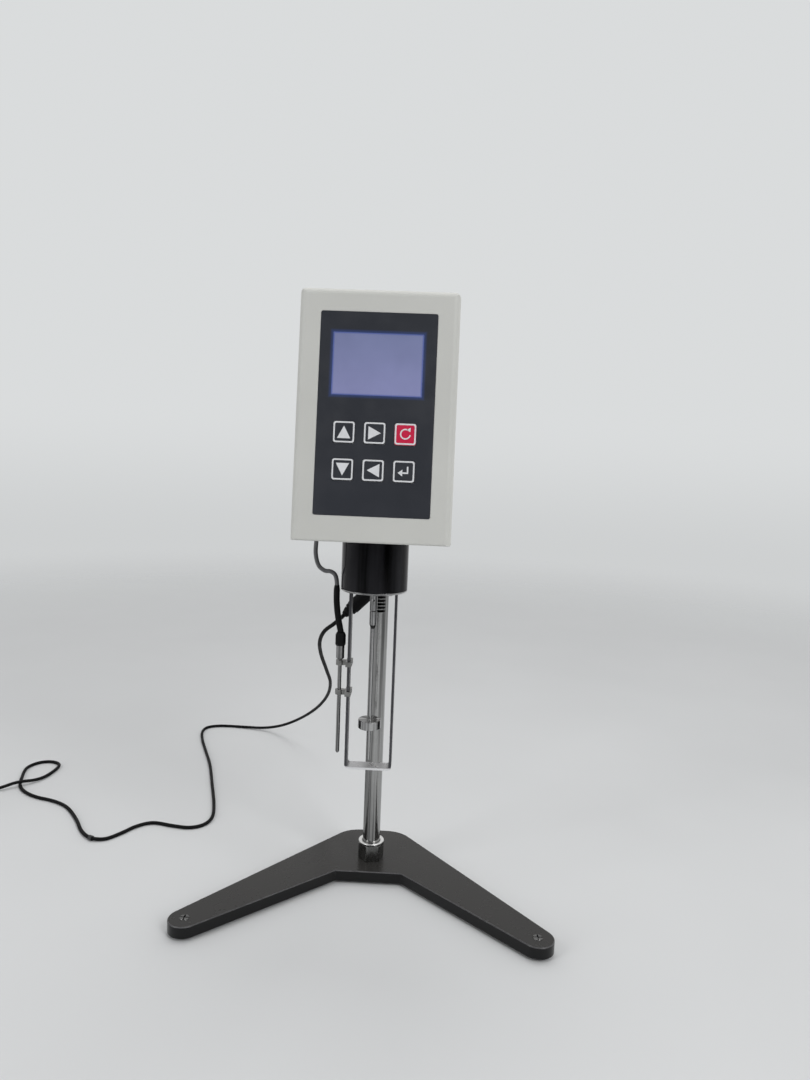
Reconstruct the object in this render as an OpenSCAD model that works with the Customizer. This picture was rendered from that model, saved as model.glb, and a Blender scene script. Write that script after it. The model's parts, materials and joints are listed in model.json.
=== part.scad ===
// Rotational viscometer: a digital measuring head that slides on a rack column above a V-shaped base.
// Units are millimetres. +Z is up and -Y is the front, where the operator stands.
// The origin is on the table, under the middle of the instrument's footprint.

/* [Base] */
// Gap between the table and the base plate, held by the levelling screws
foot_gap = 2.5; // [2:0.5:6]
// Thickness of the base plate
plate_h = 10; // [8:0.5:14]
// Sideways distance from the middle to each front levelling screw
tip_x = 142.5; // [125:0.5:160]
// Forward distance from the column axis to the front levelling screws
tip_reach = 113.5; // [100:0.5:125]
// Radius of the rounded tip of each arm
tip_r = 13.5; // [12.5:0.5:18]
// Radius of each rounded rear corner
rear_r = 27.5; // [24:0.5:32]
// Sideways offset of the centre of each rear corner
rear_x = 13; // [9:0.5:18]
// Distance from the column axis back to the rear edge
rear_reach = 52; // [49:0.5:60]
// Distance from the column axis forward to the straight edge between the arms
notch_reach = 28.5; // [24:0.5:34]
// Width of the bevel along the top edge of the plate
plate_edge = 0.8; // [0.5:0.1:2]

/* [Levelling screws] */
// Diameter of the screw
level_d = 8; // [6:0.5:10]
// Diameter of the pad that stands on the table
level_pad_d = 20; // [16:0.5:22]
// Height of the pad
level_pad_h = 6; // [5:0.5:8]
// Distance from the column axis back to the rear levelling screw
rear_screw_reach = 37; // [33:0.5:40]

/* [Column] */
// Diameter of the column
col_d = 16; // [14:0.5:18]
// Height of the column above the base plate
col_h = 455; // [450:1:500]
// Width across flats of the lock nut
nut_flats = 21; // [20:0.5:26]
// Height of the lock nut
nut_h = 16.5; // [12:0.5:20]
// Height of the lower end of the rack above the base plate
rack_from = 235.5; // [200:0.5:240]
// Tooth module of the rack and its pinion
tooth_module = 1; // [0.8:0.1:1.1]
// Number of teeth on the pinion
pinion_teeth = 16; // [15:1:17]

/* [Head] */
// Height of the underside of the head above the base plate, at rest
head_height = 316; // [306:0.5:320]
// Width of the head
head_w = 115.5; // [112:0.5:130]
// Length of the front face, measured along its slope
face_h = 182; // [179:0.5:190]
// Angle by which the front face leans back
lean = 7.5; // [4:0.5:9]
// Distance from the column axis to the spindle axis
arm_reach = 84; // [83:0.5:95]
// Distance from the spindle axis to the lower edge of the front face
face_reach = 65.5; // [60:0.5:75]
// Distance from the spindle axis to the back of the head
back_reach = 56; // [54:0.5:57]
// Wall thickness of the housing
wall = 3; // [2.5:0.1:3.5]
// Radius of the upper and side edges of the housing
edge_r = 5; // [3:0.5:6]
// Radius of the lower edges of the housing
foot_r = 1.5; // [1:0.5:3]
// Depth of the rear cover
cover_depth = 34; // [30:0.5:38]

/* [Front panel] */
// Width of the membrane panel
panel_w = 84; // [78:0.5:88]
// Height of the membrane panel
panel_h = 146.5; // [142:0.5:150]
// Height of the panel's lower edge above the lower edge of the face
panel_v = 19; // [16:0.5:22]
// Thickness of the membrane
panel_t = 0.7; // [0.5:0.1:1]
// Width of the display window
lcd_w = 65; // [60:0.5:68]
// Height of the display window
lcd_h = 45; // [40:0.5:47]
// Height of the display window's centre above the lower edge of the face
lcd_v = 128; // [126:0.5:131]
// Side length of a key
key_w = 15.4; // [14:0.2:16]
// Corner radius of a key
key_r = 1.6; // [1:0.1:3]
// Sideways distance between keys
key_pitch_x = 22; // [20:0.5:23]
// Distance between the two rows of keys
key_pitch_v = 26.7; // [24:0.1:28]
// Height of the lower row of keys above the lower edge of the face
key_v = 52; // [46:0.5:54]
// How far a key moves when it is pressed
key_travel = 0.5; // [0.3:0.1:0.6]

/* [Neck and rotor] */
// Diameter of the black neck under the head
neck_d = 53; // [50:0.5:56]
// Length of the neck
neck_h = 45.5; // [40:0.5:50]
// Wall thickness of the neck
neck_wall = 3.5; // [2.5:0.1:4.5]
// Height of the bright ring at the end of the neck
ring_h = 1.6; // [1:0.1:3]
// Diameter of the pivot shaft and of the spindle's coupling
pivot_d = 6; // [5.6:0.1:6.4]
// Drop from the underside of the head to the joint between the pivot shaft and the spindle
joint_drop = 62.5; // [58:0.5:70]
// Length of the spindle's coupling
coupling_h = 14.5; // [10:0.5:18]
// Diameter of the spindle's stem
stem_d = 3.2; // [2.8:0.1:4]
// Diameter of the spindle's disc
disc_d = 18.7; // [10:0.1:26]
// Thickness of the spindle's disc
disc_h = 6.9; // [1.5:0.1:9]
// Drop from the underside of the head to the disc's centre
disc_drop = 156; // [140:1:165]
// Drop from the underside of the head to the lower end of the stem
stem_drop = 187; // [176:0.5:189]

/* [Guard] */
// Distance between the centres of the two strips
guard_w = 36.3; // [34:0.1:40]
// Thickness of the strip
guard_t = 2; // [1.5:0.1:2.5]
// Depth of the strip from front to back
guard_depth = 12; // [10:0.5:14]
// Drop from the underside of the head to the top of the guard's lower bar
guard_drop = 191.5; // [190:0.5:198]
// Radius of the guard's lower outer corners
guard_r = 4; // [3:0.5:6]

/* [Probe] */
// Sideways distance from the spindle axis to the probe
probe_x = 25.7; // [25.2:0.1:27]
// Diameter of the probe's steel rod
probe_d = 3.2; // [2.8:0.1:4]
// Drop from the underside of the head to the probe's tip
probe_drop = 182; // [166:1:190]
// Drop from the underside of the head to the upper end of the probe's boot
boot_drop = 81.3; // [76:0.1:88]
// Length of the probe's rubber boot
boot_l = 10.7; // [9:0.1:14]
// Length of the steel ferrule below the boot
ferrule_l = 10.8; // [9:0.1:14]
// Diameter of the probe's rubber boot
boot_d = 8.3; // [7.5:0.1:9]

/* [Power lead] */
// Diameter of the lead
lead_d = 3.5; // [3:0.1:4]
// Diameter of the plug's moulded body
plug_d = 12; // [10:0.5:13]

/* [Fits] */
// Radial clearance of a shaft that turns or slides in its bore
run_gap = 0.05; // [0.03:0.01:0.08]
// Gap all round a key in the panel
key_gap = 0.3; // [0.2:0.05:0.5]
// Gap between two covers that nest
nest_gap = 0.15; // [0.1:0.05:0.3]
// Backlash between the rack and the pinion
backlash = 0.2; // [0.1:0.05:0.3]

/* [Hidden] */
$fn = 48;
// Overshoot of a cut past the surface that it opens
over = 1;

// Colours
shell_white = [0.86, 0.86, 0.83];
panel_black = [0.12, 0.13, 0.14];
gloss_black = [0.03, 0.03, 0.035];
steel = [0.74, 0.75, 0.77];
chrome = [0.86, 0.87, 0.88];
brass = [0.72, 0.58, 0.3];
board_green = [0.08, 0.32, 0.18];
lcd_blue = [0.36, 0.4, 0.62];
reset_red = [0.72, 0.06, 0.16];
rubber = [0.05, 0.05, 0.05];

// Main heights and places
base_top = foot_gap + plate_h;
col_y = (arm_reach + face_reach - rear_reach) / 2;
spin_y = col_y - arm_reach;
face_y = spin_y - face_reach;
back_y = spin_y + back_reach;
split_y = back_y - cover_depth;
head_z = base_top + head_height;
head_top = head_z + face_h * cos(lean);
neck_end = head_z - neck_h;
col_r = col_d / 2;
col_top = base_top + col_h;
pivot_r = pivot_d / 2;

// ---- Shared outlines and helpers ----

function unit(a, b) = (b - a) / norm(b - a);
function half_angle(a, b, c) = acos(unit(b, a) * unit(b, c)) / 2;
function bisector(a, b, c) = unit([0, 0], unit(b, a) + unit(b, c));

// Convex outline whose corners are true arcs; radii holds one radius for each point
module rounded_outline(points, radii) {
    n = len(points);
    polygon([for (i = [0:n - 1])
        let (a = points[(i + n - 1) % n], b = points[i], c = points[(i + 1) % n])
        let (reach = radii[i] / tan(half_angle(a, b, c)))
        each [b + unit(b, a) * reach, b + unit(b, c) * reach]]);
    for (i = [0:n - 1])
        let (a = points[(i + n - 1) % n], b = points[i], c = points[(i + 1) % n])
        translate(b + bisector(a, b, c) * radii[i] / sin(half_angle(a, b, c))) circle(radii[i]);
}

module rounded_rect(w, h, r) {
    rounded_outline([[-w / 2, -h / 2], [w / 2, -h / 2], [w / 2, h / 2], [-w / 2, h / 2]], [r, r, r, r]);
}

// Extrudes a (Y, Z) outline along X, centred on X = 0
module along_x(w) rotate([90, 0, 90]) linear_extrude(w, center = true) children();

// Extrudes an (X, Z) outline along Y, centred on Y = 0
module along_y(d) rotate([90, 0, 0]) linear_extrude(d, center = true) children();

module rod_x(r, from, to) translate([from, 0, 0]) rotate([0, 90, 0]) cylinder(r = r, h = to - from);

module rod_y(r, from, to) translate([0, from, 0]) rotate([-90, 0, 0]) cylinder(r = r, h = to - from);

module rod_z(r, from, to) translate([0, 0, from]) cylinder(r = r, h = to - from);

module tube_z(r_out, r_in, from, to) {
    difference() {
        rod_z(r_out, from, to);
        rod_z(r_in, from - over, to + over);
    }
}

module at_column() translate([0, col_y, 0]) children();

module at_spindle() translate([0, spin_y, 0]) children();

// Frame of the sloping face: X right, Y up the slope from the lower edge, Z outward
module on_face() translate([0, face_y, head_z]) rotate([90 - lean, 0, 0]) children();

// Cap screw with its head standing on Z = 0 and its shank below
module cap_screw(d, length, head_d, head_h) {
    difference() {
        union() {
            rod_z(head_d / 2, 0, head_h);
            rod_z(d / 2, -length, 0);
        }
        translate([0, 0, head_h * 0.4]) cylinder(d = d * 0.8, h = head_h, $fn = 6);
    }
}

// ---- Swept cords ----

// Point at fraction t of a smooth curve between b and c, with neighbours a and d
function blend_point(a, b, c, d, t) =
    0.5 * (2 * b + (c - a) * t + (2 * a - 5 * b + 4 * c - d) * t * t
        + (3 * b - a - 3 * c + d) * t * t * t);

// Smooth line through the points, with steps points on each span
function smooth_line(p, steps) = [
    for (i = [0:len(p) - 2]) for (k = [0:steps - 1])
        blend_point(p[max(i - 1, 0)], p[i], p[i + 1], p[min(i + 2, len(p) - 1)], k / steps),
    p[len(p) - 1]];

function tangent(p, i) = unit(p[max(i - 1, 0)], p[min(i + 1, len(p) - 1)]);
function across(v, t) = unit([0, 0, 0], v - (v * t) * t);

// Closed tube swept along points from to upto of a line; first is any direction across the line's start
module swept_tube(line, r, first, from = 0, upto = undef, sides = 8) {
    last = is_undef(upto) ? len(line) - 1 : upto;
    n = last - from + 1;
    normals = [for (i = 0, v = across(first, tangent(line, 0)); i <= last;
        i = i + 1, v = i <= last ? across(v, tangent(line, i)) : v) v];
    rings = [for (i = [from:last]) for (k = [0:sides - 1])
        let (side = cross(tangent(line, i), normals[i]))
        line[i] + r * (cos(360 * k / sides) * normals[i] + sin(360 * k / sides) * side)];
    walls = [for (i = [0:n - 2]) for (k = [0:sides - 1]) let (m = (k + 1) % sides)
        each [[i * sides + k, (i + 1) * sides + k, (i + 1) * sides + m],
              [i * sides + k, (i + 1) * sides + m, i * sides + m]]];
    ends = [for (k = [1:sides - 2]) each [[0, k, k + 1],
        [(n - 1) * sides, (n - 1) * sides + k + 1, (n - 1) * sides + k]]];
    polyhedron(rings, concat(walls, ends), convexity = 10);
}

// ---- Base and column ----

root_c = [rear_x, rear_reach - rear_r];
tip_c = [tip_x, -tip_reach];
arm_angle = atan2(tip_c.y - root_c.y, tip_c.x - root_c.x);
arm_flare = acos((rear_r - tip_r) / norm(tip_c - root_c));
back_normal = [cos(arm_angle + arm_flare), sin(arm_angle + arm_flare)];
front_normal = [cos(arm_angle - arm_flare), sin(arm_angle - arm_flare)];

// How far the straight sides stay inside the arcs that they run into
ease = 0.02;

// Half width of the straight front edge, where it meets the front line of the arm
function notch_half(inset) = root_c.x + (rear_r - ease - inset
    + front_normal.y * (notch_reach - inset + root_c.y)) / front_normal.x;

// Corners of the base between its rounded ends, drawn in by inset
function base_corners(inset) =
    let (root = rear_r - inset - ease, tip = tip_r - inset - ease)
    let (right = [[notch_half(inset), inset - notch_reach], tip_c + tip * front_normal,
        tip_c + tip * back_normal, root_c + root * back_normal, root_c + [0, root]])
    concat(right, [for (i = [len(right) - 1:-1:0]) [-right[i].x, right[i].y]]);

module base_outline(inset) {
    for (side = [-1, 1]) {
        translate([side * root_c.x, root_c.y]) circle(rear_r - inset);
        translate([side * tip_c.x, tip_c.y]) circle(tip_r - inset);
    }
    polygon(base_corners(inset));
}

level_places = [[-tip_x, -tip_reach], [tip_x, -tip_reach], [0, rear_screw_reach]];
pad_clear = 0.5;
edge_layers = 4;
edge_layer_h = plate_edge / edge_layers;

module base_plate() {
    color(gloss_black) at_column() difference() {
        union() {
            translate([0, 0, foot_gap]) linear_extrude(plate_h - plate_edge) base_outline(0);
            for (i = [0:edge_layers - 1]) translate([0, 0, base_top - plate_edge + i * edge_layer_h])
                linear_extrude(edge_layer_h) base_outline((i + 0.5) * edge_layer_h);
        }
        rod_z(col_r + run_gap, foot_gap - over, base_top + over);
        for (p = level_places) translate([p.x, p.y, 0]) {
            rod_z(level_d / 2 + run_gap, foot_gap - over, base_top + over);
            rod_z(level_pad_d / 2 + pad_clear, foot_gap - over, level_pad_h + pad_clear);
        }
    }
}

slot_w = 1.2;
stud_rise = 0.6;

module foot(p) {
    color(steel) at_column() translate([p.x, p.y, 0]) difference() {
        union() {
            rotate_extrude() polygon([[0, 0], [level_pad_d / 2 - 1, 0], [level_pad_d / 2, 1],
                [level_pad_d / 2, level_pad_h - 1], [level_pad_d / 2 - 1, level_pad_h],
                [0, level_pad_h]]);
            rod_z(level_d / 2, level_pad_h - over, base_top + stud_rise - 0.4);
            translate([0, 0, base_top + stud_rise - 0.4])
                cylinder(r1 = level_d / 2, r2 = level_d / 2 - 0.4, h = 0.4);
        }
        translate([-level_d, -slot_w / 2, base_top - slot_w]) cube([2 * level_d, slot_w, 2 * slot_w + over]);
        translate([-slot_w / 2, -level_d, base_top - slot_w]) cube([slot_w, 2 * level_d, 2 * slot_w + over]);
    }
}

tooth_pitch = PI * tooth_module;
rack_z = base_top + rack_from;
rack_margin = 12;
rack_count = floor((col_top - rack_margin - rack_z) / tooth_pitch);
rack_skin = 0.3;
rack_tip = col_r - rack_skin;
rack_line = rack_tip - tooth_module;
root_depth = 1.25 * tooth_module;
pressure = 20;
cap_plug_r = col_r / 2;

// Gap between two rack teeth: (Y, Z) outline that opens towards the front
module rack_gap() {
    half = tooth_pitch / 4 + backlash / 4;
    polygon([[-rack_tip - over, half + (tooth_module + over) * tan(pressure)],
        [-rack_line + root_depth, half - root_depth * tan(pressure)],
        [-rack_line + root_depth, -half + root_depth * tan(pressure)],
        [-rack_tip - over, -half - (tooth_module + over) * tan(pressure)]]);
}

module column() {
    color(chrome) at_column() difference() {
        rotate_extrude() polygon([[0, foot_gap + 0.5], [col_r - 1, foot_gap + 0.5],
            [col_r, foot_gap + 1.5], [col_r, col_top - 1], [col_r - 1, col_top], [0, col_top]]);
        translate([-col_r - over, -col_d - rack_tip, rack_z])
            cube([col_d + 2 * over, col_d, rack_count * tooth_pitch]);
        for (i = [0:rack_count - 1])
            translate([0, 0, rack_z + (i + 0.5) * tooth_pitch]) along_x(col_d + 2 * over) rack_gap();
        rod_z(cap_plug_r + nest_gap, col_top - 8, col_top + over);
    }
}

cap_r = col_r + 1.5;
cap_h = 5;

module column_cap() {
    color(rubber) at_column() {
        rotate_extrude() polygon([[0, col_top], [cap_r, col_top], [cap_r, col_top + cap_h - 1.5],
            [cap_r - 1.5, col_top + cap_h], [0, col_top + cap_h]]);
        rod_z(cap_plug_r, col_top - 7, col_top + over);
    }
}

module lock_nut() {
    corner = nut_flats / 2 / cos(30);
    rim = corner - 0.3;
    face_r = nut_flats / 2 - 1;
    color(chrome) at_column() difference() {
        union() {
            intersection() {
                rotate([0, 0, 12]) translate([0, 0, base_top]) cylinder(r = corner, h = nut_h - 1, $fn = 6);
                rotate_extrude() polygon([[0, base_top], [rim - 0.6, base_top], [rim, base_top + 0.8],
                    [rim, base_top + nut_h - 2.4], [face_r, base_top + nut_h - 1],
                    [0, base_top + nut_h - 1]]);
            }
            rod_z(face_r, base_top + nut_h - 1 - 0.5, base_top + nut_h);
        }
        rod_z(col_r + run_gap, base_top - over, base_top + nut_h + over);
        translate([0, 0, base_top + nut_h - 0.8])
            cylinder(r1 = col_r + run_gap, r2 = col_r + run_gap + 0.9, h = 0.8 + over);
    }
}

// ---- Lift block, pinion and knobs ----

block_w = 44;
block_h = 56;
block_rise = 4;
block_z = head_z + block_rise;
block_back = col_y + col_r + 8;
block_r = 6;
pinion_z = block_z + block_h / 2;
pinion_r = pinion_teeth * tooth_module / 2;
pinion_y = col_y - rack_line - pinion_r;
pinion_w = 9;
pinion_well = pinion_r + tooth_module + 0.8;
shaft_r = 4;
bush_h = 14;
bush_wall = 2;
bush_r = col_r + run_gap + bush_wall;
well_r = col_r + 0.6;
bolt_x = 15;
bolt_z = [block_z + 9, block_z + block_h - 9];
bolt_d = 5;
bolt_bite = 9;
tension_d = 6;
tension_z = pinion_z;
chassis_t = 5;
bolt_head_h = 4;
bolt_head_y = back_y - wall - chassis_t;

module lift_block() {
    depth = block_back - back_y;
    color(gloss_black) difference() {
        translate([0, back_y + depth / 2, block_z]) linear_extrude(block_h)
            rounded_outline([[-block_w / 2, -depth / 2], [block_w / 2, -depth / 2],
                [block_w / 2, depth / 2], [-block_w / 2, depth / 2]], [0.5, 0.5, block_r, block_r]);
        at_column() {
            rod_z(well_r, block_z - over, block_z + block_h + over);
            rod_z(bush_r, block_z - over, block_z + bush_h);
            rod_z(bush_r, block_z + block_h - bush_h, block_z + block_h + over);
        }
        translate([0, pinion_y, pinion_z]) {
            rod_x(pinion_well, -pinion_w / 2 - 0.4, pinion_w / 2 + 0.4);
            rod_x(shaft_r + run_gap, -block_w / 2 - over, block_w / 2 + over);
        }
        translate([0, 0, tension_z]) rod_y(tension_d / 2 + run_gap, col_y, block_back + over);
        for (side = [-1, 1], z = bolt_z)
            translate([side * bolt_x, 0, z]) rod_y(bolt_d / 2, back_y - over, back_y + bolt_bite);
    }
}

module slide_bushes() {
    color(brass) at_column() for (z = [block_z, block_z + block_h - bush_h])
        tube_z(bush_r, col_r + run_gap, z, z + bush_h);
}

// Four screws that hold the lift block, and four that hold the neck
module frame_screws() {
    color(steel) {
        for (side = [-1, 1], z = bolt_z)
            translate([side * bolt_x, bolt_head_y, z]) rotate([90, 0, 0])
            cap_screw(bolt_d, wall + chassis_t + bolt_bite - 0.5, 8.5, bolt_head_h);
        neck_bolt_places() translate([0, 0, chassis_top])
            cap_screw(neck_bolt_d, chassis_t + wall + neck_top_t - 1, 7, 3.5);
    }
}

pad_t = 3;

module tension_pad() {
    color(brass) translate([0, 0, tension_z])
        intersection() {
            rod_y(tension_d / 2, col_y, col_y + col_r + pad_t);
            translate([0, col_y, 0]) difference() {
                cube([col_d, 6 * col_r, col_d], center = true);
                rod_z(col_r + run_gap, -col_d, col_d);
            }
        }
}

grip_r = 9;
grip_h = 14;

module tension_knob() {
    color(gloss_black) translate([0, 0, tension_z]) {
        rod_y(tension_d / 2, col_y + col_r + pad_t + run_gap, block_back + 2);
        translate([0, block_back + 1, 0]) rotate([-90, 0, 0]) difference() {
            rotate_extrude() polygon([[0, 0], [grip_r - 3, 0], [grip_r - 3, 2], [grip_r - 0.8, 2],
                [grip_r, 2.8], [grip_r, grip_h - 1], [grip_r - 1, grip_h], [0, grip_h]]);
            for (i = [0:11]) rotate([0, 0, 30 * i])
                translate([grip_r + 0.6, 0, 3.5]) cylinder(r = 1.3, h = grip_h);
        }
    }
}

// Involute gear outline
base_circle = pinion_r * cos(pressure);
tip_circle = pinion_r + tooth_module;
root_circle = pinion_r - root_depth;
function roll(r) = sqrt(pow(r / base_circle, 2) - 1) * 180 / PI;
function involute(r) = roll(r) - atan(sqrt(pow(r / base_circle, 2) - 1));
function flank_angle(r) = 90 / pinion_teeth - backlash / 4 / pinion_r * 180 / PI
    + involute(pinion_r) - involute(max(r, base_circle));

module pinion_outline() {
    flank = [for (i = [0:5]) base_circle + (tip_circle - base_circle) * i / 5];
    circle(root_circle);
    for (k = [0:pinion_teeth - 1]) rotate(360 * k / pinion_teeth)
        polygon(concat(
            [[root_circle * 0.9 * cos(flank_angle(0)), -root_circle * 0.9 * sin(flank_angle(0))]],
            [for (r = flank) [r * cos(flank_angle(r)), -r * sin(flank_angle(r))]],
            [for (i = [5:-1:0]) let (r = flank[i]) [r * cos(flank_angle(r)), r * sin(flank_angle(r))]],
            [[root_circle * 0.9 * cos(flank_angle(0)), root_circle * 0.9 * sin(flank_angle(0))]]));
}

// Turn that brings a pinion tooth into the nearest gap of the rack
rack_steps = (pinion_z - rack_z) / tooth_pitch - 0.5;
mesh_turn = (round(rack_steps) - rack_steps) * 360 / pinion_teeth;
knob_from = block_w / 2 + 1.5;
knob_r = 12;
knob_w = 16;
thrust_gap = 0.2;
thrust_h = 2;

module lift_pinion() {
    end = -block_w / 2 - thrust_gap;
    color(steel) translate([0, pinion_y, pinion_z]) {
        rotate([mesh_turn, 0, 0]) along_x(pinion_w) pinion_outline();
        rod_x(shaft_r, end, knob_from + knob_w - 3);
        rod_x(shaft_r + 1.5, end - thrust_h, end);
    }
}

module lift_knob() {
    color(gloss_black) translate([knob_from, pinion_y, pinion_z]) rotate([0, 90, 0]) difference() {
        rotate_extrude() polygon([[0, 0], [shaft_r + 4, 0], [shaft_r + 5, 3], [knob_r - 1, 4], [knob_r, 5],
            [knob_r, knob_w - 1.5], [knob_r - 1.5, knob_w], [knob_r - 6, knob_w], [knob_r - 7, knob_w - 1.5],
            [0, knob_w - 1.5]]);
        rod_z(shaft_r, -over, knob_w - 3);
        for (i = [0:15]) rotate([0, 0, 22.5 * i])
            translate([knob_r + 0.8, 0, 3]) cylinder(r = 1.5, h = knob_w);
    }
}

// ---- Head housing ----

// Front surface of the housing at height z, set back by inset
function front_at(z, inset) = face_y + (z - head_z) * tan(lean) + inset / cos(lean);

// Side view (Y, Z) of the head, drawn smaller by inset
function head_side(inset) = [
    [front_at(head_z + inset, inset), head_z + inset], [front_at(head_top - inset, inset), head_top - inset],
    [back_y - inset, head_top - inset], [back_y - inset, head_z + inset]];

// Head with sharp corners, used for hollows and nesting lips
module head_core(inset) along_x(head_w - 2 * inset) polygon(head_side(inset));

// Outside of the head, with every edge rounded
module head_form() {
    half = head_w / 2;
    deep = back_y - face_y + face_h / 4;
    intersection() {
        along_x(head_w) rounded_outline(head_side(0), [foot_r, edge_r, edge_r, foot_r]);
        translate([0, spin_y, 0]) along_y(4 * back_reach) rounded_outline(
            [[-half, head_z], [half, head_z], [half, head_top], [-half, head_top]],
            [foot_r, foot_r, edge_r, edge_r]);
        on_face() translate([0, face_h / 2, 0]) along_y(2 * face_h) rounded_outline(
            [[-half, -2 * deep], [half, -2 * deep], [half, 0], [-half, 0]], [1, 1, edge_r, edge_r]);
        translate([0, back_y, head_z - over]) linear_extrude(face_h + 2 * over) rounded_outline(
            [[-half, -2 * deep], [half, -2 * deep], [half, 0], [-half, 0]], [1, 1, edge_r, edge_r]);
    }
}

// Everything between two planes across Y
module slab(from, to) translate([-head_w, from, head_z - neck_h]) cube([2 * head_w, to - from, 2 * face_h]);

lip_h = 3;
post_r = 4;
post_x = head_w / 2 - 9;
post_z = [head_z + 15, head_top - 15];
screw_d = 3;
panel_recess = 0.5;
ledge = 1.5;
stem_hole = 9;
lcd_post_x = 42;
lcd_post_v = 27;
spigot_r = 14;
spigot_gap = 0.1;
gland_x = -47;
gland_y = spin_y - 1.75;
gland_r = 4;
socket_x = 8;
socket_y = spin_y + 40.25;
socket_r = 6;
level_y = spin_y + 6;
level_r = 11;
level_depth = 6;
switch_x = -34;
switch_z = head_z + 60;
switch_w = 13;
switch_h = 19;
key_cap_t = 0.6;
key_rise = 0.25;
key_top = panel_t - panel_recess + key_rise;
key_pocket = key_travel + key_cap_t - key_top + 0.15;
key_places = [[-1, 1], [0, 1], [1, 1], [-1, 0], [0, 0], [1, 0]];
function key_at(i) = [key_places[i].x * key_pitch_x, key_v + key_places[i].y * key_pitch_v];
key_mid_v = key_v + key_pitch_v / 2;
key_post_x = key_pitch_x + 8;
key_post_v = key_pitch_v / 2 + 7;
neck_bolt_r = 19;
neck_bolt_d = 4;

module neck_bolt_places() at_spindle() for (k = [0:3])
    rotate([0, 0, 90 * k]) translate([neck_bolt_r, 0, 0]) children();

// Cut-outs of the sloping face: panel recess, window, key pockets and stem holes
module face_cuts() {
    on_face() {
        translate([0, panel_v + panel_h / 2, -panel_recess]) linear_extrude(over + panel_recess)
            rounded_rect(panel_w, panel_h, 1.5);
        translate([0, lcd_v, -2 * wall]) linear_extrude(2 * wall + over)
            rounded_rect(lcd_w - 2 * ledge, lcd_h - 2 * ledge, 0.5);
        for (i = [0:5]) translate([key_at(i).x, key_at(i).y, 0]) {
            translate([0, 0, -key_pocket]) linear_extrude(key_pocket)
                rounded_rect(key_w + 2 * key_gap, key_w + 2 * key_gap, key_r + key_gap);
            translate([0, 0, -2 * wall]) linear_extrude(2 * wall) rounded_rect(stem_hole, stem_hole, 1);
        }
    }
}

module front_housing() {
    color(shell_white) difference() {
        union() {
            intersection() {
                difference() {
                    head_form();
                    head_core(wall);
                }
                slab(face_y - over, split_y);
            }
            intersection() {
                difference() {
                    head_core(wall / 2 + nest_gap);
                    head_core(wall);
                }
                slab(split_y - lip_h, split_y + lip_h);
            }
            intersection() {
                head_core(wall / 2);
                for (side = [-1, 1], z = post_z)
                    translate([side * post_x, 0, z]) rod_y(post_r, face_y, split_y);
            }
            intersection() {
                head_core(wall / 2);
                on_face() for (x = [-lcd_post_x, lcd_post_x], v = [-lcd_post_v, lcd_post_v])
                    translate([x, lcd_v + v, -board_out]) cylinder(r = 3, h = board_out);
            }
            on_face() for (x = [-key_post_x, key_post_x], v = [-key_post_v, key_post_v])
                translate([x, key_mid_v + v, -key_board_out]) cylinder(r = 2.5, h = key_board_out - wall / 2);
        }
        face_cuts();
        for (side = [-1, 1], z = post_z) translate([side * post_x, 0, z])
            rod_y(screw_d / 2, split_y - 12, split_y + over);
        at_spindle() rod_z(spigot_r + spigot_gap, head_z - over, head_z + wall + over);
        neck_bolt_places() rod_z(neck_bolt_d / 2 + spigot_gap, head_z - over, head_z + wall + over);
        translate([gland_x, gland_y, 0]) rod_z(gland_r + nest_gap, head_z - over, head_z + wall + over);
        translate([0, level_y, 0]) rod_z(level_r, head_top - level_depth, head_top + over);
    }
}

module rear_cover() {
    color(shell_white) difference() {
        union() {
            intersection() {
                difference() {
                    head_form();
                    head_core(wall);
                }
                slab(split_y, back_y + over);
            }
            intersection() {
                head_core(wall / 2);
                for (side = [-1, 1], z = post_z)
                    translate([side * post_x, 0, z]) rod_y(post_r, split_y, back_y);
            }
        }
        intersection() {
            head_core(wall / 2);
            slab(split_y - over, split_y + lip_h + nest_gap);
        }
        for (side = [-1, 1], z = post_z) translate([side * post_x, 0, z]) {
            rod_y(screw_d / 2 + spigot_gap, split_y - over, back_y + over);
            rod_y(screw_d + spigot_gap, back_y - screw_d, back_y + over);
        }
        for (side = [-1, 1], z = bolt_z) translate([side * bolt_x, 0, z])
            rod_y(bolt_d / 2 + spigot_gap, back_y - wall - over, back_y + over);
        translate([socket_x, socket_y, 0]) rod_z(socket_r + nest_gap, head_z - over, head_z + wall + over);
        translate([switch_x, back_y, switch_z]) cube([switch_w, 4 * wall, switch_h], center = true);
    }
}

module cover_screws() {
    color(steel) for (side = [-1, 1], z = post_z)
        translate([side * post_x, back_y - screw_d, z]) rotate([-90, 0, 0])
        cap_screw(screw_d, cover_depth + 5, 2 * screw_d, screw_d - 0.4);
}

module membrane_panel() {
    color(panel_black) on_face() difference() {
        translate([0, panel_v + panel_h / 2, -panel_recess]) linear_extrude(panel_t)
            rounded_rect(panel_w - nest_gap, panel_h - nest_gap, 1.5);
        translate([0, lcd_v, -over]) linear_extrude(3 * over)
            rounded_rect(lcd_w + nest_gap, lcd_h + nest_gap, 0.8);
        for (i = [0:5]) translate([key_at(i).x, key_at(i).y, -over])
            linear_extrude(3 * over) rounded_rect(key_w + 2 * key_gap, key_w + 2 * key_gap, key_r + key_gap);
    }
}

module display_window() {
    color(lcd_blue) on_face() translate([0, lcd_v, -panel_recess]) linear_extrude(panel_t)
        rounded_rect(lcd_w, lcd_h, 0.7);
}

// ---- Display, keys and boards ----

board_out = 12;
board_t = 1.6;
bezel_w = lcd_w + 12;
bezel_h = lcd_h + 6;

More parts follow.
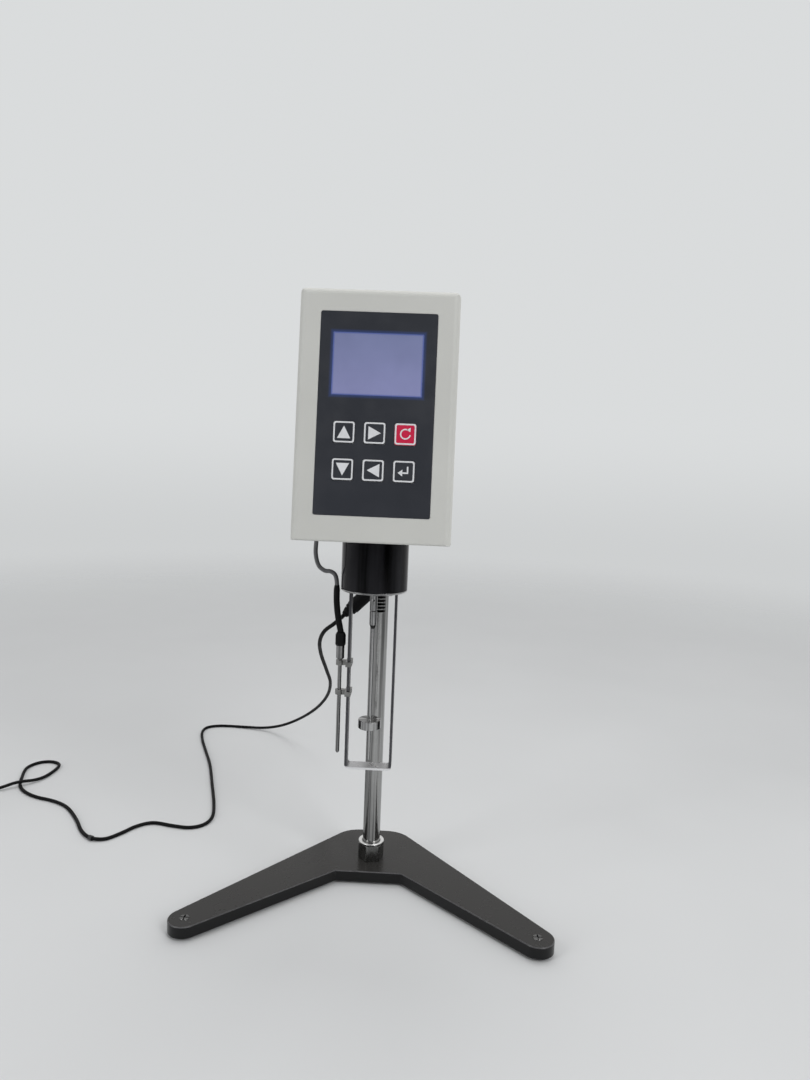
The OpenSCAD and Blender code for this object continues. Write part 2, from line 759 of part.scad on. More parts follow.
module display_module() {
    on_face() translate([0, lcd_v, 0]) {
        color([0.2, 0.2, 0.22]) difference() {
            translate([0, 0, -board_out]) linear_extrude(board_out - wall - nest_gap)
                rounded_rect(bezel_w, bezel_h, 1);
            translate([0, 0, -wall - 1]) linear_extrude(2) rounded_rect(lcd_w + 2, lcd_h - 1, 0.5);
        }
        color(board_green) difference() {
            translate([0, 0, -board_out - board_t]) linear_extrude(board_t)
                rounded_rect(2 * lcd_post_x + 7, 2 * lcd_post_v + 7, 1);
            for (x = [-lcd_post_x, lcd_post_x], v = [-lcd_post_v, lcd_post_v])
                translate([x, v, -board_out - 2 * board_t]) cylinder(r = 1.6, h = 3 * board_t);
        }
        color(rubber) translate([0, lcd_post_v - 3, -board_out - board_t - 4])
            linear_extrude(4) rounded_rect(50, 5, 0.5);
    }
}

stem_w = 8;
stem_depth = wall + 1.2;
dome_h = 1;
key_board_out = stem_depth + key_travel + 0.3 + dome_h;

module key_block(i, tone) {
    color(tone) on_face() translate([key_at(i).x, key_at(i).y, 0]) {
        translate([0, 0, key_top - key_cap_t]) linear_extrude(key_cap_t) rounded_rect(key_w, key_w, key_r);
        translate([0, 0, -stem_depth]) linear_extrude(stem_depth) rounded_rect(stem_w, stem_w, 0.8);
    }
}

module keypad_board() {
    on_face() {
        color(board_green) translate([0, key_mid_v, -key_board_out - board_t]) linear_extrude(board_t)
            rounded_rect(2 * key_post_x + 6, 2 * key_post_v + 6, 1.5);
        color(steel) for (i = [0:5]) translate([key_at(i).x, key_at(i).y, -key_board_out])
            cylinder(r1 = 4, r2 = 2.5, h = dome_h);
        color(rubber) translate([0, key_mid_v, -key_board_out - board_t - 5])
            linear_extrude(5) rounded_rect(20, 6, 0.5);
    }
}

chassis_y = back_y - wall - chassis_t;
chassis_half = 38;
chassis_front = spin_y - 30;
chassis_top = head_z + wall + chassis_t;
upright_h = 72;
upright_half = 24;
gusset_h = 40;
gusset_reach = 16;
post_off = 15.5;
motor_z = head_z + 63;
motor_w = 42;
motor_h = 38;
board_gap = 9;
main_y = back_y - wall - board_gap;
chip_t = 3;
main_from = head_z + wall + upright_h + board_gap;
main_h = head_top - wall - 1.7 * board_gap - main_from;
main_half = head_w / 2 - wall - 1.6 * board_gap;

// Middle of each chip as a share of the board's half sizes, then its width and height
chips = [[-0.45, 0.3, 14, 10], [0.2, 0.46, 22, 12], [0.5, -0.46, 10, 18], [-0.5, -0.5, 24, 8]];

module main_board() {
    mid_z = main_from + main_h / 2;
    translate([0, main_y, mid_z]) {
        color(board_green) along_y(board_t) difference() {
            rounded_rect(2 * main_half, main_h, 2);
            for (x = [-1, 1], z = [-1, 1]) translate([x * (main_half - 4), z * (main_h / 2 - 4)]) circle(1.6);
        }
        color(rubber) for (c = chips)
            translate([c[0] * main_half, -(board_t + chip_t) / 2, c[1] * main_h / 2])
            along_y(chip_t) rounded_rect(c[2], c[3], 0.6);
    }
    color(steel) for (x = [-1, 1], z = [-1, 1])
        translate([x * (main_half - 4), 0, mid_z + z * (main_h / 2 - 4)])
        rod_y(2.6, main_y + board_t / 2, back_y - wall);
}

// ---- Chassis, motor and sensing discs ----

module chassis() {
    color(steel) difference() {
        union() {
            translate([0, (chassis_front + back_y - wall) / 2, head_z + wall]) linear_extrude(chassis_t)
                rounded_rect(2 * chassis_half, back_y - wall - chassis_front, 3);
            translate([-upright_half, chassis_y, head_z + wall])
                cube([2 * upright_half, chassis_t, upright_h]);
            for (side = [-1, 1]) translate([side * (upright_half - 2), 0, 0]) along_x(4) polygon([
                [chassis_y, chassis_top], [chassis_y, chassis_top + gusset_h],
                [chassis_y - gusset_reach, chassis_top]]);
        }
        at_spindle() rod_z(spigot_r + spigot_gap, head_z, chassis_top + over);
        neck_bolt_places() rod_z(neck_bolt_d / 2 + spigot_gap, head_z, chassis_top + over);
        translate([socket_x, socket_y, 0]) rod_z(socket_r + 3, head_z, chassis_top + over);
        for (side = [-1, 1], z = bolt_z) translate([side * bolt_x, 0, z])
            rod_y(bolt_d / 2 + spigot_gap, chassis_y - over, back_y);
    }
    color(brass) at_spindle() for (x = [-1, 1], y = [-1, 1]) translate([x * post_off, y * post_off, 0])
        rod_z(3, chassis_top - over, motor_z);
}

motor_shaft_r = 2.5;
shaft_end = head_z + 40;
shaft_grip = 12;

module motor() {
    at_spindle() {
        color([0.2, 0.2, 0.22]) difference() {
            translate([0, 0, motor_z + 3]) linear_extrude(motor_h - 6) rounded_rect(motor_w, motor_w, 5);
            rod_z(motor_shaft_r + run_gap, motor_z - over, motor_z + shaft_grip);
        }
        color(steel) for (z = [motor_z, motor_z + motor_h - 3]) difference() {
            translate([0, 0, z]) linear_extrude(3) rounded_rect(motor_w, motor_w, 3);
            rod_z(motor_shaft_r + run_gap, motor_z - over, motor_z + shaft_grip);
        }
    }
}

module motor_shaft() {
    color(steel) at_spindle() rod_z(motor_shaft_r, shaft_end, motor_z + shaft_grip - 0.5);
}

sense_r = 18;
sense_t = 1;
drive_z = head_z + 42;
torque_z = head_z + 25;
spring_z = head_z + 33;
spring_h = 1.2;
spring_in = 3.2;
spring_out = 12;
spring_turns = 4;
spring_t = 0.5;

// Thin disc with a slotted rim, on a hub
module sensing_disc(z, hub_r, hub_from, hub_to, bore_r) {
    difference() {
        union() {
            rod_z(sense_r, z, z + sense_t);
            rod_z(hub_r, hub_from, hub_to);
        }
        rod_z(bore_r, hub_from - over, hub_to + over);
        for (k = [0:23]) rotate([0, 0, 15 * k])
            translate([sense_r - 3, -0.6, z - over]) cube([2, 1.2, sense_t + 2 * over]);
    }
}

module drive_disc() {
    color(panel_black) at_spindle() {
        sensing_disc(drive_z, 5, shaft_end + 0.5, drive_z + 5, motor_shaft_r);
        translate([spring_out, 0, 0]) rod_z(1, spring_z, drive_z + sense_t / 2);
    }
}

module torque_disc() {
    color(panel_black) at_spindle() sensing_disc(torque_z, 4.5, torque_z - 2, torque_z + 4, pivot_r);
}

function spring_point(a, shift) =
    let (r = spring_in + (spring_out - spring_in) * a / (360 * spring_turns) + shift)
    [r * cos(a), r * sin(a)];

module hairspring() {
    turn = 15;
    last = 360 * spring_turns / turn;
    color(brass) at_spindle() {
        translate([0, 0, spring_z - spring_h]) linear_extrude(spring_h) polygon(concat(
            [for (k = [0:last]) spring_point(turn * k, -spring_t / 2)],
            [for (k = [last:-1:0]) spring_point(turn * k, spring_t / 2)]));
        tube_z(spring_in + spring_t / 2, tip_pin_r + run_gap, spring_z - spring_h, spring_z);
    }
}

module sensor_board() {
    reach = sense_r - 2.5;
    at_spindle() {
        color(board_green) translate([sense_r + 5, -14, chassis_top]) cube([board_t, 28, 46]);
        color(rubber) for (z = [torque_z, drive_z]) difference() {
            translate([reach, -4, z + sense_t / 2 - 4]) cube([sense_r + 5 - reach, 8, 8]);
            translate([reach - over, -4 - over, z + sense_t / 2 - 1.5]) cube([sense_r + 1.5 - reach, 10, 3]);
        }
    }
}

// ---- Neck, bearings and pivot ----

neck_in = neck_d / 2 - neck_wall;
neck_top_t = 6;
bearing_r = 6.5;
bearing_h = 4;
upper_z = head_z + wall + 1;
plate_t = 5.5;
plate_gap = 0.05;

module neck() {
    color(gloss_black) at_spindle() difference() {
        rotate_extrude() polygon([[0, neck_end + ring_h], [neck_d / 2 - 0.6, neck_end + ring_h],
            [neck_d / 2, neck_end + ring_h + 0.8], [neck_d / 2, head_z], [spigot_r, head_z],
            [spigot_r, chassis_top], [0, chassis_top]]);
        rod_z(neck_in, neck_end, head_z - neck_top_t);
        rod_z(pivot_r + 1.5, neck_end, chassis_top + over);
        rod_z(bearing_r, upper_z, chassis_top + over);
        for (k = [0:3]) rotate([0, 0, 90 * k]) translate([neck_bolt_r, 0, 0])
            rod_z(neck_bolt_d / 2, head_z - neck_top_t - over, head_z + over);
    }
}

module neck_ring() {
    color(chrome) at_spindle() difference() {
        rotate_extrude() polygon([[neck_in - 1, neck_end], [neck_d / 2 - 0.7, neck_end],
            [neck_d / 2, neck_end + 0.7], [neck_d / 2, neck_end + ring_h], [neck_in - 1, neck_end + ring_h]]);
        rod_z(neck_in, neck_end - over, neck_end + ring_h + over);
    }
}

tab_reach = guard_w / 2 - 9.5;
tab_bolt_x = guard_w / 2 - 6;
tab_bolt_d = 3;

module neck_plate() {
    color(steel) at_spindle() difference() {
        rod_z(neck_in - plate_gap, neck_end, neck_end + plate_t);
        rod_z(pivot_r + 1.5, neck_end - over, neck_end + plate_t);
        rod_z(bearing_r, neck_end + plate_t - bearing_h, neck_end + plate_t + over);
        for (side = [-1, 1]) translate([side * tab_bolt_x, 0, 0])
            rod_z(tab_bolt_d / 2, neck_end - over, neck_end + plate_t + over);
    }
}

module neck_bearings() {
    color(chrome) at_spindle() {
        tube_z(bearing_r, pivot_r + run_gap, upper_z, upper_z + bearing_h);
        tube_z(bearing_r, pivot_r + run_gap, neck_end + plate_t - bearing_h, neck_end + plate_t);
    }
}

spindle_z = head_z - joint_drop;
collar_gap = 0.3;
pivot_top = head_z + 37;
tip_pin_r = 1.6;

module pivot_shaft() {
    plate_top = neck_end + plate_t;
    color(chrome) at_spindle() difference() {
        rotate_extrude() polygon([[0, spindle_z], [pivot_r - 0.5, spindle_z], [pivot_r, spindle_z + 0.5],
            [pivot_r, plate_top + collar_gap], [pivot_r + 1.2, plate_top + collar_gap],
            [pivot_r + 1.2, plate_top + 2.5], [pivot_r, plate_top + 2.5], [pivot_r, torque_z + 5],
            [tip_pin_r, torque_z + 5], [tip_pin_r, pivot_top], [0, pivot_top]]);
        translate([0, 0, spindle_z + 9]) rod_y(1, -pivot_d, pivot_d);
    }
}

module spindle() {
    stem_r = stem_d / 2;
    disc_z = head_z - disc_drop;
    foot_z = head_z - stem_drop;
    low = spindle_z - coupling_h;
    color(chrome) at_spindle() rotate_extrude() polygon([
        [0, foot_z], [stem_r - 0.4, foot_z], [stem_r, foot_z + 0.4],
        [stem_r, disc_z - disc_h / 2], [disc_d / 2 - 0.3, disc_z - disc_h / 2],
        [disc_d / 2, disc_z - disc_h / 2 + 0.3], [disc_d / 2, disc_z + disc_h / 2 - 0.3],
        [disc_d / 2 - 0.3, disc_z + disc_h / 2], [stem_r, disc_z + disc_h / 2], [stem_r, low],
        [pivot_r, low + 3.5], [pivot_r, spindle_z - 0.5], [pivot_r - 0.5, spindle_z], [0, spindle_z]]);
}

// ---- Guard ----

module guard() {
    out = guard_w / 2 + guard_t / 2;
    in = out - guard_t;
    bottom = head_z - guard_drop - guard_t;
    color(steel) at_spindle() difference() {
        along_y(guard_depth) difference() {
            rounded_outline([[-out, bottom], [out, bottom], [out, neck_end], [-out, neck_end]],
                [guard_r, guard_r, 2.5, 2.5]);
            rounded_outline([[-in, bottom + guard_t], [in, bottom + guard_t], [in, neck_end - guard_t],
                [-in, neck_end - guard_t]], [guard_r - guard_t, guard_r - guard_t, 0.5, 0.5]);
            translate([-tab_reach, neck_end - 2 * guard_t]) square([2 * tab_reach, 3 * guard_t]);
        }
        for (side = [-1, 1]) translate([side * tab_bolt_x, 0, 0])
            rod_z(tab_bolt_d / 2 + 0.1, neck_end - 2 * guard_t, neck_end + over);
    }
}

module guard_screws() {
    color(steel) at_spindle() for (side = [-1, 1])
        translate([side * tab_bolt_x, 0, neck_end - guard_t]) rotate([180, 0, 0])
        cap_screw(tab_bolt_d, guard_t + plate_t - 1, 5.5, 2);
}

// ---- Temperature probe ----

probe_r = probe_d / 2;
ferrule_r = 3.35;
boot_top = head_z - boot_drop;
boot_bottom = boot_top - boot_l;
ferrule_bottom = boot_bottom - ferrule_l;
sheath_r = 2.5;
gland_drop = 6;
probe_lead_d = 3.5;
clip_z = [ferrule_bottom - 3.2, ferrule_bottom - 27.7];
clip_h = 4;

// Route of the probe's lead from its gland to the sheath, and of the sheath down to the boot
lead_plane = spin_y - 1.75;
lead_top = [gland_x, gland_y, head_z - gland_drop];
sheath_top = [-probe_x - 4, lead_plane, head_z - neck_h + 3];
probe_lead_route = [lead_top, for (p = [[-47.4, 17.5], [-45, 27], [-40, 31.3], [-35, 31.9], [-31.2, 34.9]])
    [p.x, lead_plane, head_z - p.y], sheath_top];
sheath_route = [sheath_top, [-probe_x - 3.9, spin_y - 1.35, boot_top + 25.8],
    [-probe_x - 2.5, spin_y - 0.65, boot_top + 12.8], [-probe_x, spin_y, boot_top]];

module probe_gland() {
    color(rubber) translate([gland_x, gland_y, 0]) {
        rod_z(gland_r, head_z - 1, head_z + wall);
        rotate_extrude() polygon([[0, head_z - gland_drop], [3, head_z - gland_drop],
            [gland_r + 1.5, head_z - 3],
            [gland_r + 1.5, head_z], [0, head_z]]);
        rod_z(gland_r + 1.5, head_z + wall, head_z + wall + 3);
    }
}

module probe_lead() color(rubber) swept_tube(smooth_line(probe_lead_route, 3), probe_lead_d / 2, [0, 1, 0]);

module probe_sheath() color(rubber) swept_tube(smooth_line(sheath_route, 3), sheath_r, [0, 1, 0], sides = 12);

module at_probe() at_spindle() translate([-probe_x, 0, 0]) children();

module probe_boot() {
    r = boot_d / 2;
    color(rubber) at_probe() rotate_extrude() polygon([[0, boot_bottom], [r - 0.5, boot_bottom],
        [r, boot_bottom + 0.8], [r, boot_top - 2], [r - 1, boot_top], [0, boot_top]]);
}

module probe_rod() {
    tip_z = head_z - probe_drop;
    color(chrome) at_probe() rotate_extrude() polygon([
        [0, tip_z], [probe_r - 0.8, tip_z], [probe_r, tip_z + 1.2], [probe_r, ferrule_bottom],
        [ferrule_r - 0.4, ferrule_bottom],
        [ferrule_r, ferrule_bottom + 0.6], [ferrule_r, boot_bottom], [0, boot_bottom]]);
}

// Two spring clips that hold the probe's rod to the guard's left strip
module probe_clips() {
    jaw = guard_depth + 3;
    inner = probe_x - guard_w / 2 - guard_t / 2;
    color(steel) at_probe() for (z = clip_z) translate([0, 0, z - clip_h / 2]) difference() {
        union() {
            cylinder(r = probe_r + 1.6, h = clip_h);
            translate([0, -2, 0]) cube([inner, 4, clip_h]);
            translate([inner - 1.4, -jaw / 2, 0]) cube([guard_t + 2.8, jaw, clip_h]);
        }
        translate([0, 0, -over]) cylinder(r = probe_r, h = clip_h + 2 * over);
        translate([inner, -guard_depth / 2, -over]) cube([guard_t, guard_depth, clip_h + 2 * over]);
    }
}

// ---- Fittings of the head ----

socket_drop = 8;

module power_socket() {
    color(steel) translate([socket_x, socket_y, 0]) difference() {
        union() {
            rod_z(socket_r, head_z - socket_drop, head_z + wall + 4.5);
            rod_z(socket_r + 2, head_z - 2, head_z);
            translate([0, 0, head_z + wall]) cylinder(r = socket_r + 2.2, h = 2.5, $fn = 6);
        }
        rod_z(socket_r - 2.2, head_z - socket_drop - over, head_z + wall);
    }
}

module level_case() {
    color(steel) translate([0, level_y, 0]) difference() {
        rod_z(level_r, head_top - level_depth, head_top + 0.8);
        rod_z(level_r - 2, head_top - level_depth + 1.5, head_top + 2);
    }
}

module level_vial() {
    color([0.75, 0.85, 0.35]) translate([0, level_y, 0])
        rotate_extrude() polygon([
            [0, head_top - level_depth + 1.5], [level_r - 2, head_top - level_depth + 1.5],
            [level_r - 2, head_top + 0.4], [level_r - 2.5, head_top + 0.7], [0, head_top + 0.9]]);
}

rocker_w = 9;
rocker_h = 12.5;
rocker_tilt = 9;
rocker_pin_r = 0.9;
rocker_pin_x = rocker_w / 2 + 1.2;
flange = 1.6;

module switch_case() {
    color(rubber) translate([switch_x, back_y, switch_z]) difference() {
        union() {
            translate([0, -6.5, 0]) cube([switch_w, 13, switch_h], center = true);
            translate([0, flange / 2, 0]) along_y(flange) rounded_rect(switch_w + 3, switch_h + 3, 1);
            for (x = [-3, 3]) translate([x, -16, 0]) cube([0.8, 8, 5], center = true);
        }
        cube([rocker_w + 0.6, 16, rocker_h + 1.6], center = true);
        rod_x(rocker_pin_r + run_gap, -rocker_pin_x - 0.1, rocker_pin_x + 0.1);
    }
}

module switch_rocker() {
    sag = rocker_h / 2 * tan(rocker_tilt);
    color(rubber) translate([switch_x, back_y, switch_z]) rotate([-rocker_tilt, 0, 0]) {
        along_x(rocker_w) polygon([[-5, -2.5], [flange - 0.6 + sag, -rocker_h / 2], [flange - 0.6, 0],
            [flange - 0.6 + sag, rocker_h / 2], [-5, 2.5]]);
        rod_x(rocker_pin_r, -rocker_pin_x, rocker_pin_x);
    }
}

// ---- Power lead ----

lead_r = lead_d / 2;
elbow_z = 288;
plug_body = 40;
relief_h = 10;
relief_r = 4.6;
plug_r = plug_d / 2;
knuckle = 0.4;
plug_dir = [-sin(45), 0, -cos(45)];
plug_elbow = [socket_x, socket_y, elbow_z];
lead_start = plug_elbow + (plug_body + relief_h) * plug_dir;

module power_plug() {
    collar_r = socket_r + 1.6;
    color(rubber) {
        translate([socket_x, socket_y, 0]) difference() {
            union() {
                rod_z(plug_r, elbow_z, head_z - socket_drop);
                rod_z(collar_r, head_z - socket_drop - 6, head_z - 2.2);
            }
            rod_z(socket_r + run_gap, head_z - socket_drop, head_z);
        }
        translate(plug_elbow) sphere(plug_r + knuckle);
        translate(plug_elbow) rotate([0, 180 + 45, 0]) {
            cylinder(r = plug_r, h = plug_body);
            rotate_extrude() polygon([for (p = [[0, 0], [0.8, 0], [0.8, 3], [-0.8, 3], [-0.8, 4.5], [0, 4.5],
                [-0.6, 7], [-1.6, 7], [-1.6, 8], [-1, 8], [-2, relief_h]])
                [relief_r + p[0], plug_body + p[1]], [0, plug_body + relief_h], [0, plug_body]]);
        }
    }
}

// Route of the lead: down behind the neck, back to the table, and forward to the left
drop_route = [lead_start, [-36, 8, 244], [-46, 19, 234], [-53, 44, 218], [-56, 79, 197], [-56, 124, 169],
    [-57, 170, 141]];
hang_route = [[-67, 226, 108], [-87, 287, 72], [-114, 338, 40], [-144, 374, 16], [-172, 392, 4.5]];
table_route = [[-203, 398], [-232, 399], [-249, 391], [-252, 374], [-244, 345], [-228, 305], [-212, 265],
    [-195, 212], [-180, 164], [-173, 132], [-177, 114], [-190, 106], [-208, 108], [-229, 112],
    [-243, 103], [-252.5, 87.5], [-263.5, 74], [-277.5, 73], [-292.5, 86.5], [-309, 111], [-329, 135],
    [-349, 148], [-373, 156], [-391, 167], [-404, 182], [-413, 204], [-420, 229.5], [-413, 246],
    [-398.5, 250], [-386.5, 240], [-386.5, 213.5]];
hump_route = [[-393, 196, 3], [-407, 181, 5.6], [-423, 168, 3]];
coil_x = -455;
coil_y = 125;
coil_r = 19.5;
coil_half = lead_d;
coil_lift = 0.6;
coil_entry = 127;
stow_route = [[-444, 154, 2],
    [coil_x + coil_r * cos(coil_entry), coil_y + coil_r * sin(coil_entry), coil_lift + lead_r]];
tie_index = 17;
tie_t = 0.6;
tie_gap = 0.15;
tie_lift = tie_t + tie_gap;
// How far points of the table route lie above the table: at both ends and round the tie
lead_lift = [[0, 0.3], [1, 0], [tie_index - 2, 0], [tie_index - 1, 0.12], [tie_index, tie_lift],
    [tie_index + 1, 0.12], [tie_index + 2, 0], [len(table_route) - 2, 0], [len(table_route) - 1, 0.3]];
function lead_z(i) = lead_r + lookup(i, lead_lift);
lead_line = smooth_line(concat(drop_route, hang_route,
    [for (i = [0:len(table_route) - 1]) [table_route[i].x, table_route[i].y, lead_z(i)]],
    hump_route, stow_route), 2);
drop_last = 2 * (len(drop_route) - 1);
split_gap = 2.6;
tie_line = 2 * (len(drop_route) + len(hang_route) + tie_index);

module lead_drop() color(rubber) swept_tube(lead_line, lead_r, [0, 1, 0], 0, drop_last);

// The hanging part moves with the head, so it ends a gap before the part that stays
module lead_run() {
    start = lead_line[drop_last];
    from = start + split_gap * unit(start, lead_line[drop_last + 1]);
    color(rubber) swept_tube([from, for (i = [drop_last + 1:len(lead_line) - 1]) lead_line[i]],
        lead_r, [0, 1, 0]);
}

// Outer shape of the stowed turns
module lead_coil() {
    color(rubber) translate([coil_x, coil_y, coil_lift]) rotate_extrude()
        translate([coil_r, coil_half]) rounded_rect(2 * coil_half, 2 * coil_half, lead_r);
}

// Ties round the lead on the table and round the coil
module lead_ties() {
    tie_w = 4;
    spot = lead_line[tie_line];
    along = lead_line[tie_line + 1] - lead_line[tie_line - 1];
    color(panel_black) {
        translate(spot) rotate([0, 0, atan2(along.y, along.x)]) rotate([0, 90, 0])
            tube_z(lead_r + tie_gap + tie_t, lead_r + tie_gap, -tie_w / 2, tie_w / 2);
        translate([coil_x, coil_y, coil_lift + coil_half]) rotate([0, 0, 300]) translate([coil_r, 0, 0])
            along_y(tie_w) difference() {
            rounded_rect(2 * (coil_half + tie_t), 2 * (coil_half + tie_t), lead_r + tie_t);
            rounded_rect(2 * coil_half, 2 * coil_half, lead_r);
        }
    }
}

adapter_w = 40;
adapter_l = 58;
adapter_h = 30;
nose_l = 14;
nose_r = 3.5;
nose_tip_r = 2.4;
nose_z = coil_lift + 2 * coil_half + nose_tip_r + 0.1;
pin_pitch = 19;
pin_l = 18;

// Plug-in mains adapter at the far end of the lead
module power_adapter() {
    end_y = coil_y - coil_r - coil_half - 1;
    color(rubber) translate([coil_x - coil_r, end_y - adapter_l / 2, 0]) {
        linear_extrude(adapter_h - 2) rounded_rect(adapter_w, adapter_l, 5);
        translate([0, 0, adapter_h - 2]) linear_extrude(1)
            rounded_rect(adapter_w - 1.2, adapter_l - 1.2, 4.4);
        translate([0, 0, adapter_h - 1]) linear_extrude(1) rounded_rect(adapter_w - 4, adapter_l - 4, 3.4);
        translate([0, adapter_l / 2 - over, nose_z]) rotate([-90, 0, 0])
            cylinder(r1 = nose_r, r2 = nose_tip_r, h = nose_l + over);
    }
    color(steel) for (side = [-1, 1])
        translate([coil_x - coil_r + side * pin_pitch / 2, 0, adapter_h / 2])
        rod_y(2, end_y - adapter_l - pin_l, end_y - adapter_l + over);
}

base_plate();
column();
column_cap();
lock_nut();
foot(level_places[0]);  // foot_left
foot(level_places[1]);  // foot_right
foot(level_places[2]);  // foot_rear
lift_block();
slide_bushes();
frame_screws();
tension_pad();
tension_knob();
lift_pinion();
lift_knob();
front_housing();
rear_cover();
cover_screws();
membrane_panel();
display_window();
display_module();
keypad_board();
main_board();
chassis();
motor();
sensor_board();
neck();
neck_ring();
neck_plate();
neck_bearings();
guard();
guard_screws();
probe_gland();
probe_lead();
probe_sheath();
probe_boot();
probe_rod();
probe_clips();
power_socket();
level_case();
level_vial();
switch_case();
switch_rocker();
motor_shaft();
drive_disc();
hairspring();
pivot_shaft();
torque_disc();
spindle();
key_block(0, panel_black);  // key_up
key_block(1, panel_black);  // key_right
key_block(2, reset_red);  // key_reset
key_block(3, panel_black);  // key_down
key_block(4, panel_black);  // key_left
key_block(5, panel_black);  // key_enter
power_plug();
lead_drop();
lead_run();
lead_coil();
lead_ties();
power_adapter();
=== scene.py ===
"""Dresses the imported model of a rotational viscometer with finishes, printed keys and its leads."""
import json
from math import cos, pi, radians, sin, tan

import bmesh
import bpy
from bpy.props import FloatProperty, FloatVectorProperty, PointerProperty
from mathutils import Matrix, Vector


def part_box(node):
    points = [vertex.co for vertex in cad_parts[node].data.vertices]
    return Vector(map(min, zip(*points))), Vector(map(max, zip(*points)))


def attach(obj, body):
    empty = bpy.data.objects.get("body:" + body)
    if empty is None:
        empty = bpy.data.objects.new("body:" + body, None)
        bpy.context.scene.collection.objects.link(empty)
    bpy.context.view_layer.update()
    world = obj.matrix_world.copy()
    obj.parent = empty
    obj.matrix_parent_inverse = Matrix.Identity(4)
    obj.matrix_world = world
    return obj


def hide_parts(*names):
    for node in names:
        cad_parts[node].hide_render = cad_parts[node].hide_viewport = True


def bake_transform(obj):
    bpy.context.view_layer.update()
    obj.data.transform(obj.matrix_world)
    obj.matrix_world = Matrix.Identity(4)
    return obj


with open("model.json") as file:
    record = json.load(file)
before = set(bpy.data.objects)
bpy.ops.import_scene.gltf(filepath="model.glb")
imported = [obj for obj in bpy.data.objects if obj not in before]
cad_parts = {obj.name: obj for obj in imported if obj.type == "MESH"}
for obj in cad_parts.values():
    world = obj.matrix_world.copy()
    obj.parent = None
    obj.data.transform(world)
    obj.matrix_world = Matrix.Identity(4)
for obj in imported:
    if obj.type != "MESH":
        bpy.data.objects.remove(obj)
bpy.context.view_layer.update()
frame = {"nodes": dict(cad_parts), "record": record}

bl_info = {
    "name": "Rotational viscometer",
    "version": (1, 0, 0),
    "blender": (4, 5, 0),
    "location": "3D View > Sidebar > Viscometer",
    "description": "Dresses a rotational viscometer: finishes, printed keys, display and leads",
    "category": "Object",
}

MM = 0.001
# Depth by which a print is sunk into what carries it.
SUNK = 0.01 * MM
# Thickness of the marks and of the level's ring.
INK = 0.05 * MM


def centre(node):
    """Middle of a CAD node's box, in metres."""
    low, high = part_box(node)
    return (Vector(low) + Vector(high)) / 2


# ---- Settings ----

def colour(label, note, value):
    return FloatVectorProperty(
        name=label, description=note, default=value, subtype="COLOR", size=3, min=0, max=1
    )


def length(label, note, value):
    """A length property; value is in millimetres."""
    return FloatProperty(
        name=label, description=note, default=value * MM, min=0, max=1,
        subtype="DISTANCE", unit="LENGTH", precision=5,
    )


def power(label, note, value):
    return FloatProperty(
        name=label, description=note, default=value, min=0, subtype="POWER", unit="POWER"
    )


class ViscometerFaceSettings(bpy.types.PropertyGroup):
    """Sizes of what is printed on the sloping face."""

    lean: FloatProperty(
        name="Lean", description="Angle by which the face leans back",
        default=radians(7.5), min=0, max=radians(30), subtype="ANGLE", unit="ROTATION",
    )
    panel_low: length("Panel height", "Distance of the panel's lower edge up the face", 19)
    film_stand: length("Film stand", "Height of the film above the face", 0.2)
    key_stand: length("Key stand", "Height of a key's top above the face", 0.45)
    key_side: length("Key outline", "Side of the printed outline of a key", 15.1)
    key_corner: length("Key corner", "Corner radius of the printed outline", 1.7)
    key_line: length("Key line", "Width of the printed outline", 1.1)
    arrow_base: length("Arrow base", "Base of a printed triangle", 9.6)
    arrow_height: length("Arrow height", "Height of a printed triangle", 9.0)
    ink: length("Ink", "Thickness of the ink", 0.06)


class ViscometerColours(bpy.types.PropertyGroup):
    """Colours of the finishes."""

    housing: colour("Housing", "Moulded housing", (0.60, 0.605, 0.575))
    film: colour("Panel film", "Printed film of the panel", (0.030, 0.033, 0.041))
    ink: colour("Ink", "Pale ink of the key outlines and arrows", (0.74, 0.75, 0.77))
    reset: colour("Reset key", "Red film of the reset key", (0.60, 0.014, 0.062))
    display: colour("Display", "Middle of the display", (0.265, 0.280, 0.51))
    display_edge: colour("Display edge", "Lit edge of the display", (0.085, 0.13, 0.40))
    enamel: colour("Enamel", "Gloss enamel of the base and neck", (0.0028, 0.0028, 0.003))
    rubber: colour("Rubber", "Rubber of the leads", (0.0045, 0.0045, 0.005))
    probe_rubber: colour("Probe lead", "Grey jacket of the probe's lead", (0.11, 0.11, 0.115))
    plastic: colour("Black plastic", "Knobs, cap and adapter", (0.010, 0.010, 0.011))
    chrome: colour("Chrome", "Plated column", (0.34, 0.34, 0.335))
    stainless: colour("Stainless", "Spindle and probe", (0.36, 0.36, 0.36))
    strip: colour("Guard strip", "Stainless strip of the guard", (0.085, 0.085, 0.092))
    # A painted highlight on the guard's lower bar.
    strip_highlight: colour("Guard foot", "Bright lower bar of the guard", (0.86, 0.86, 0.87))
    liquid: colour("Level liquid", "Liquid of the round level", (0.45, 0.62, 0.08))


class ViscometerLeadSettings(bpy.types.PropertyGroup):
    """Sizes of the leads."""

    power_width: length("Power lead", "Diameter of the power lead", 3.5)
    probe_width: length("Probe lead", "Diameter of the probe's lead", 3.5)
    sleeve_width: length("Probe sleeve", "Diameter of the sleeve over the probe's lead", 5.0)
    coil_radius: length("Coil radius", "Radius of the stowed turns at their middle", 19.5)


class ViscometerStageSettings(bpy.types.PropertyGroup):
    """Floor and lights."""

    floor: colour("Floor", "Plain pale floor", (0.66, 0.67, 0.675))
    wall: colour("Background", "Pale background behind the floor", (0.70, 0.715, 0.72))
    key_light: power("Key light", "Power of the large lamp at the right", 25.0)
    fill_light: power("Fill light", "Power of the lamps at the left and above", 14.0)
    sky: FloatProperty(
        name="Sky", description="Strength of the even light from all round", default=0.67, min=0
    )


# ---- Node trees ----

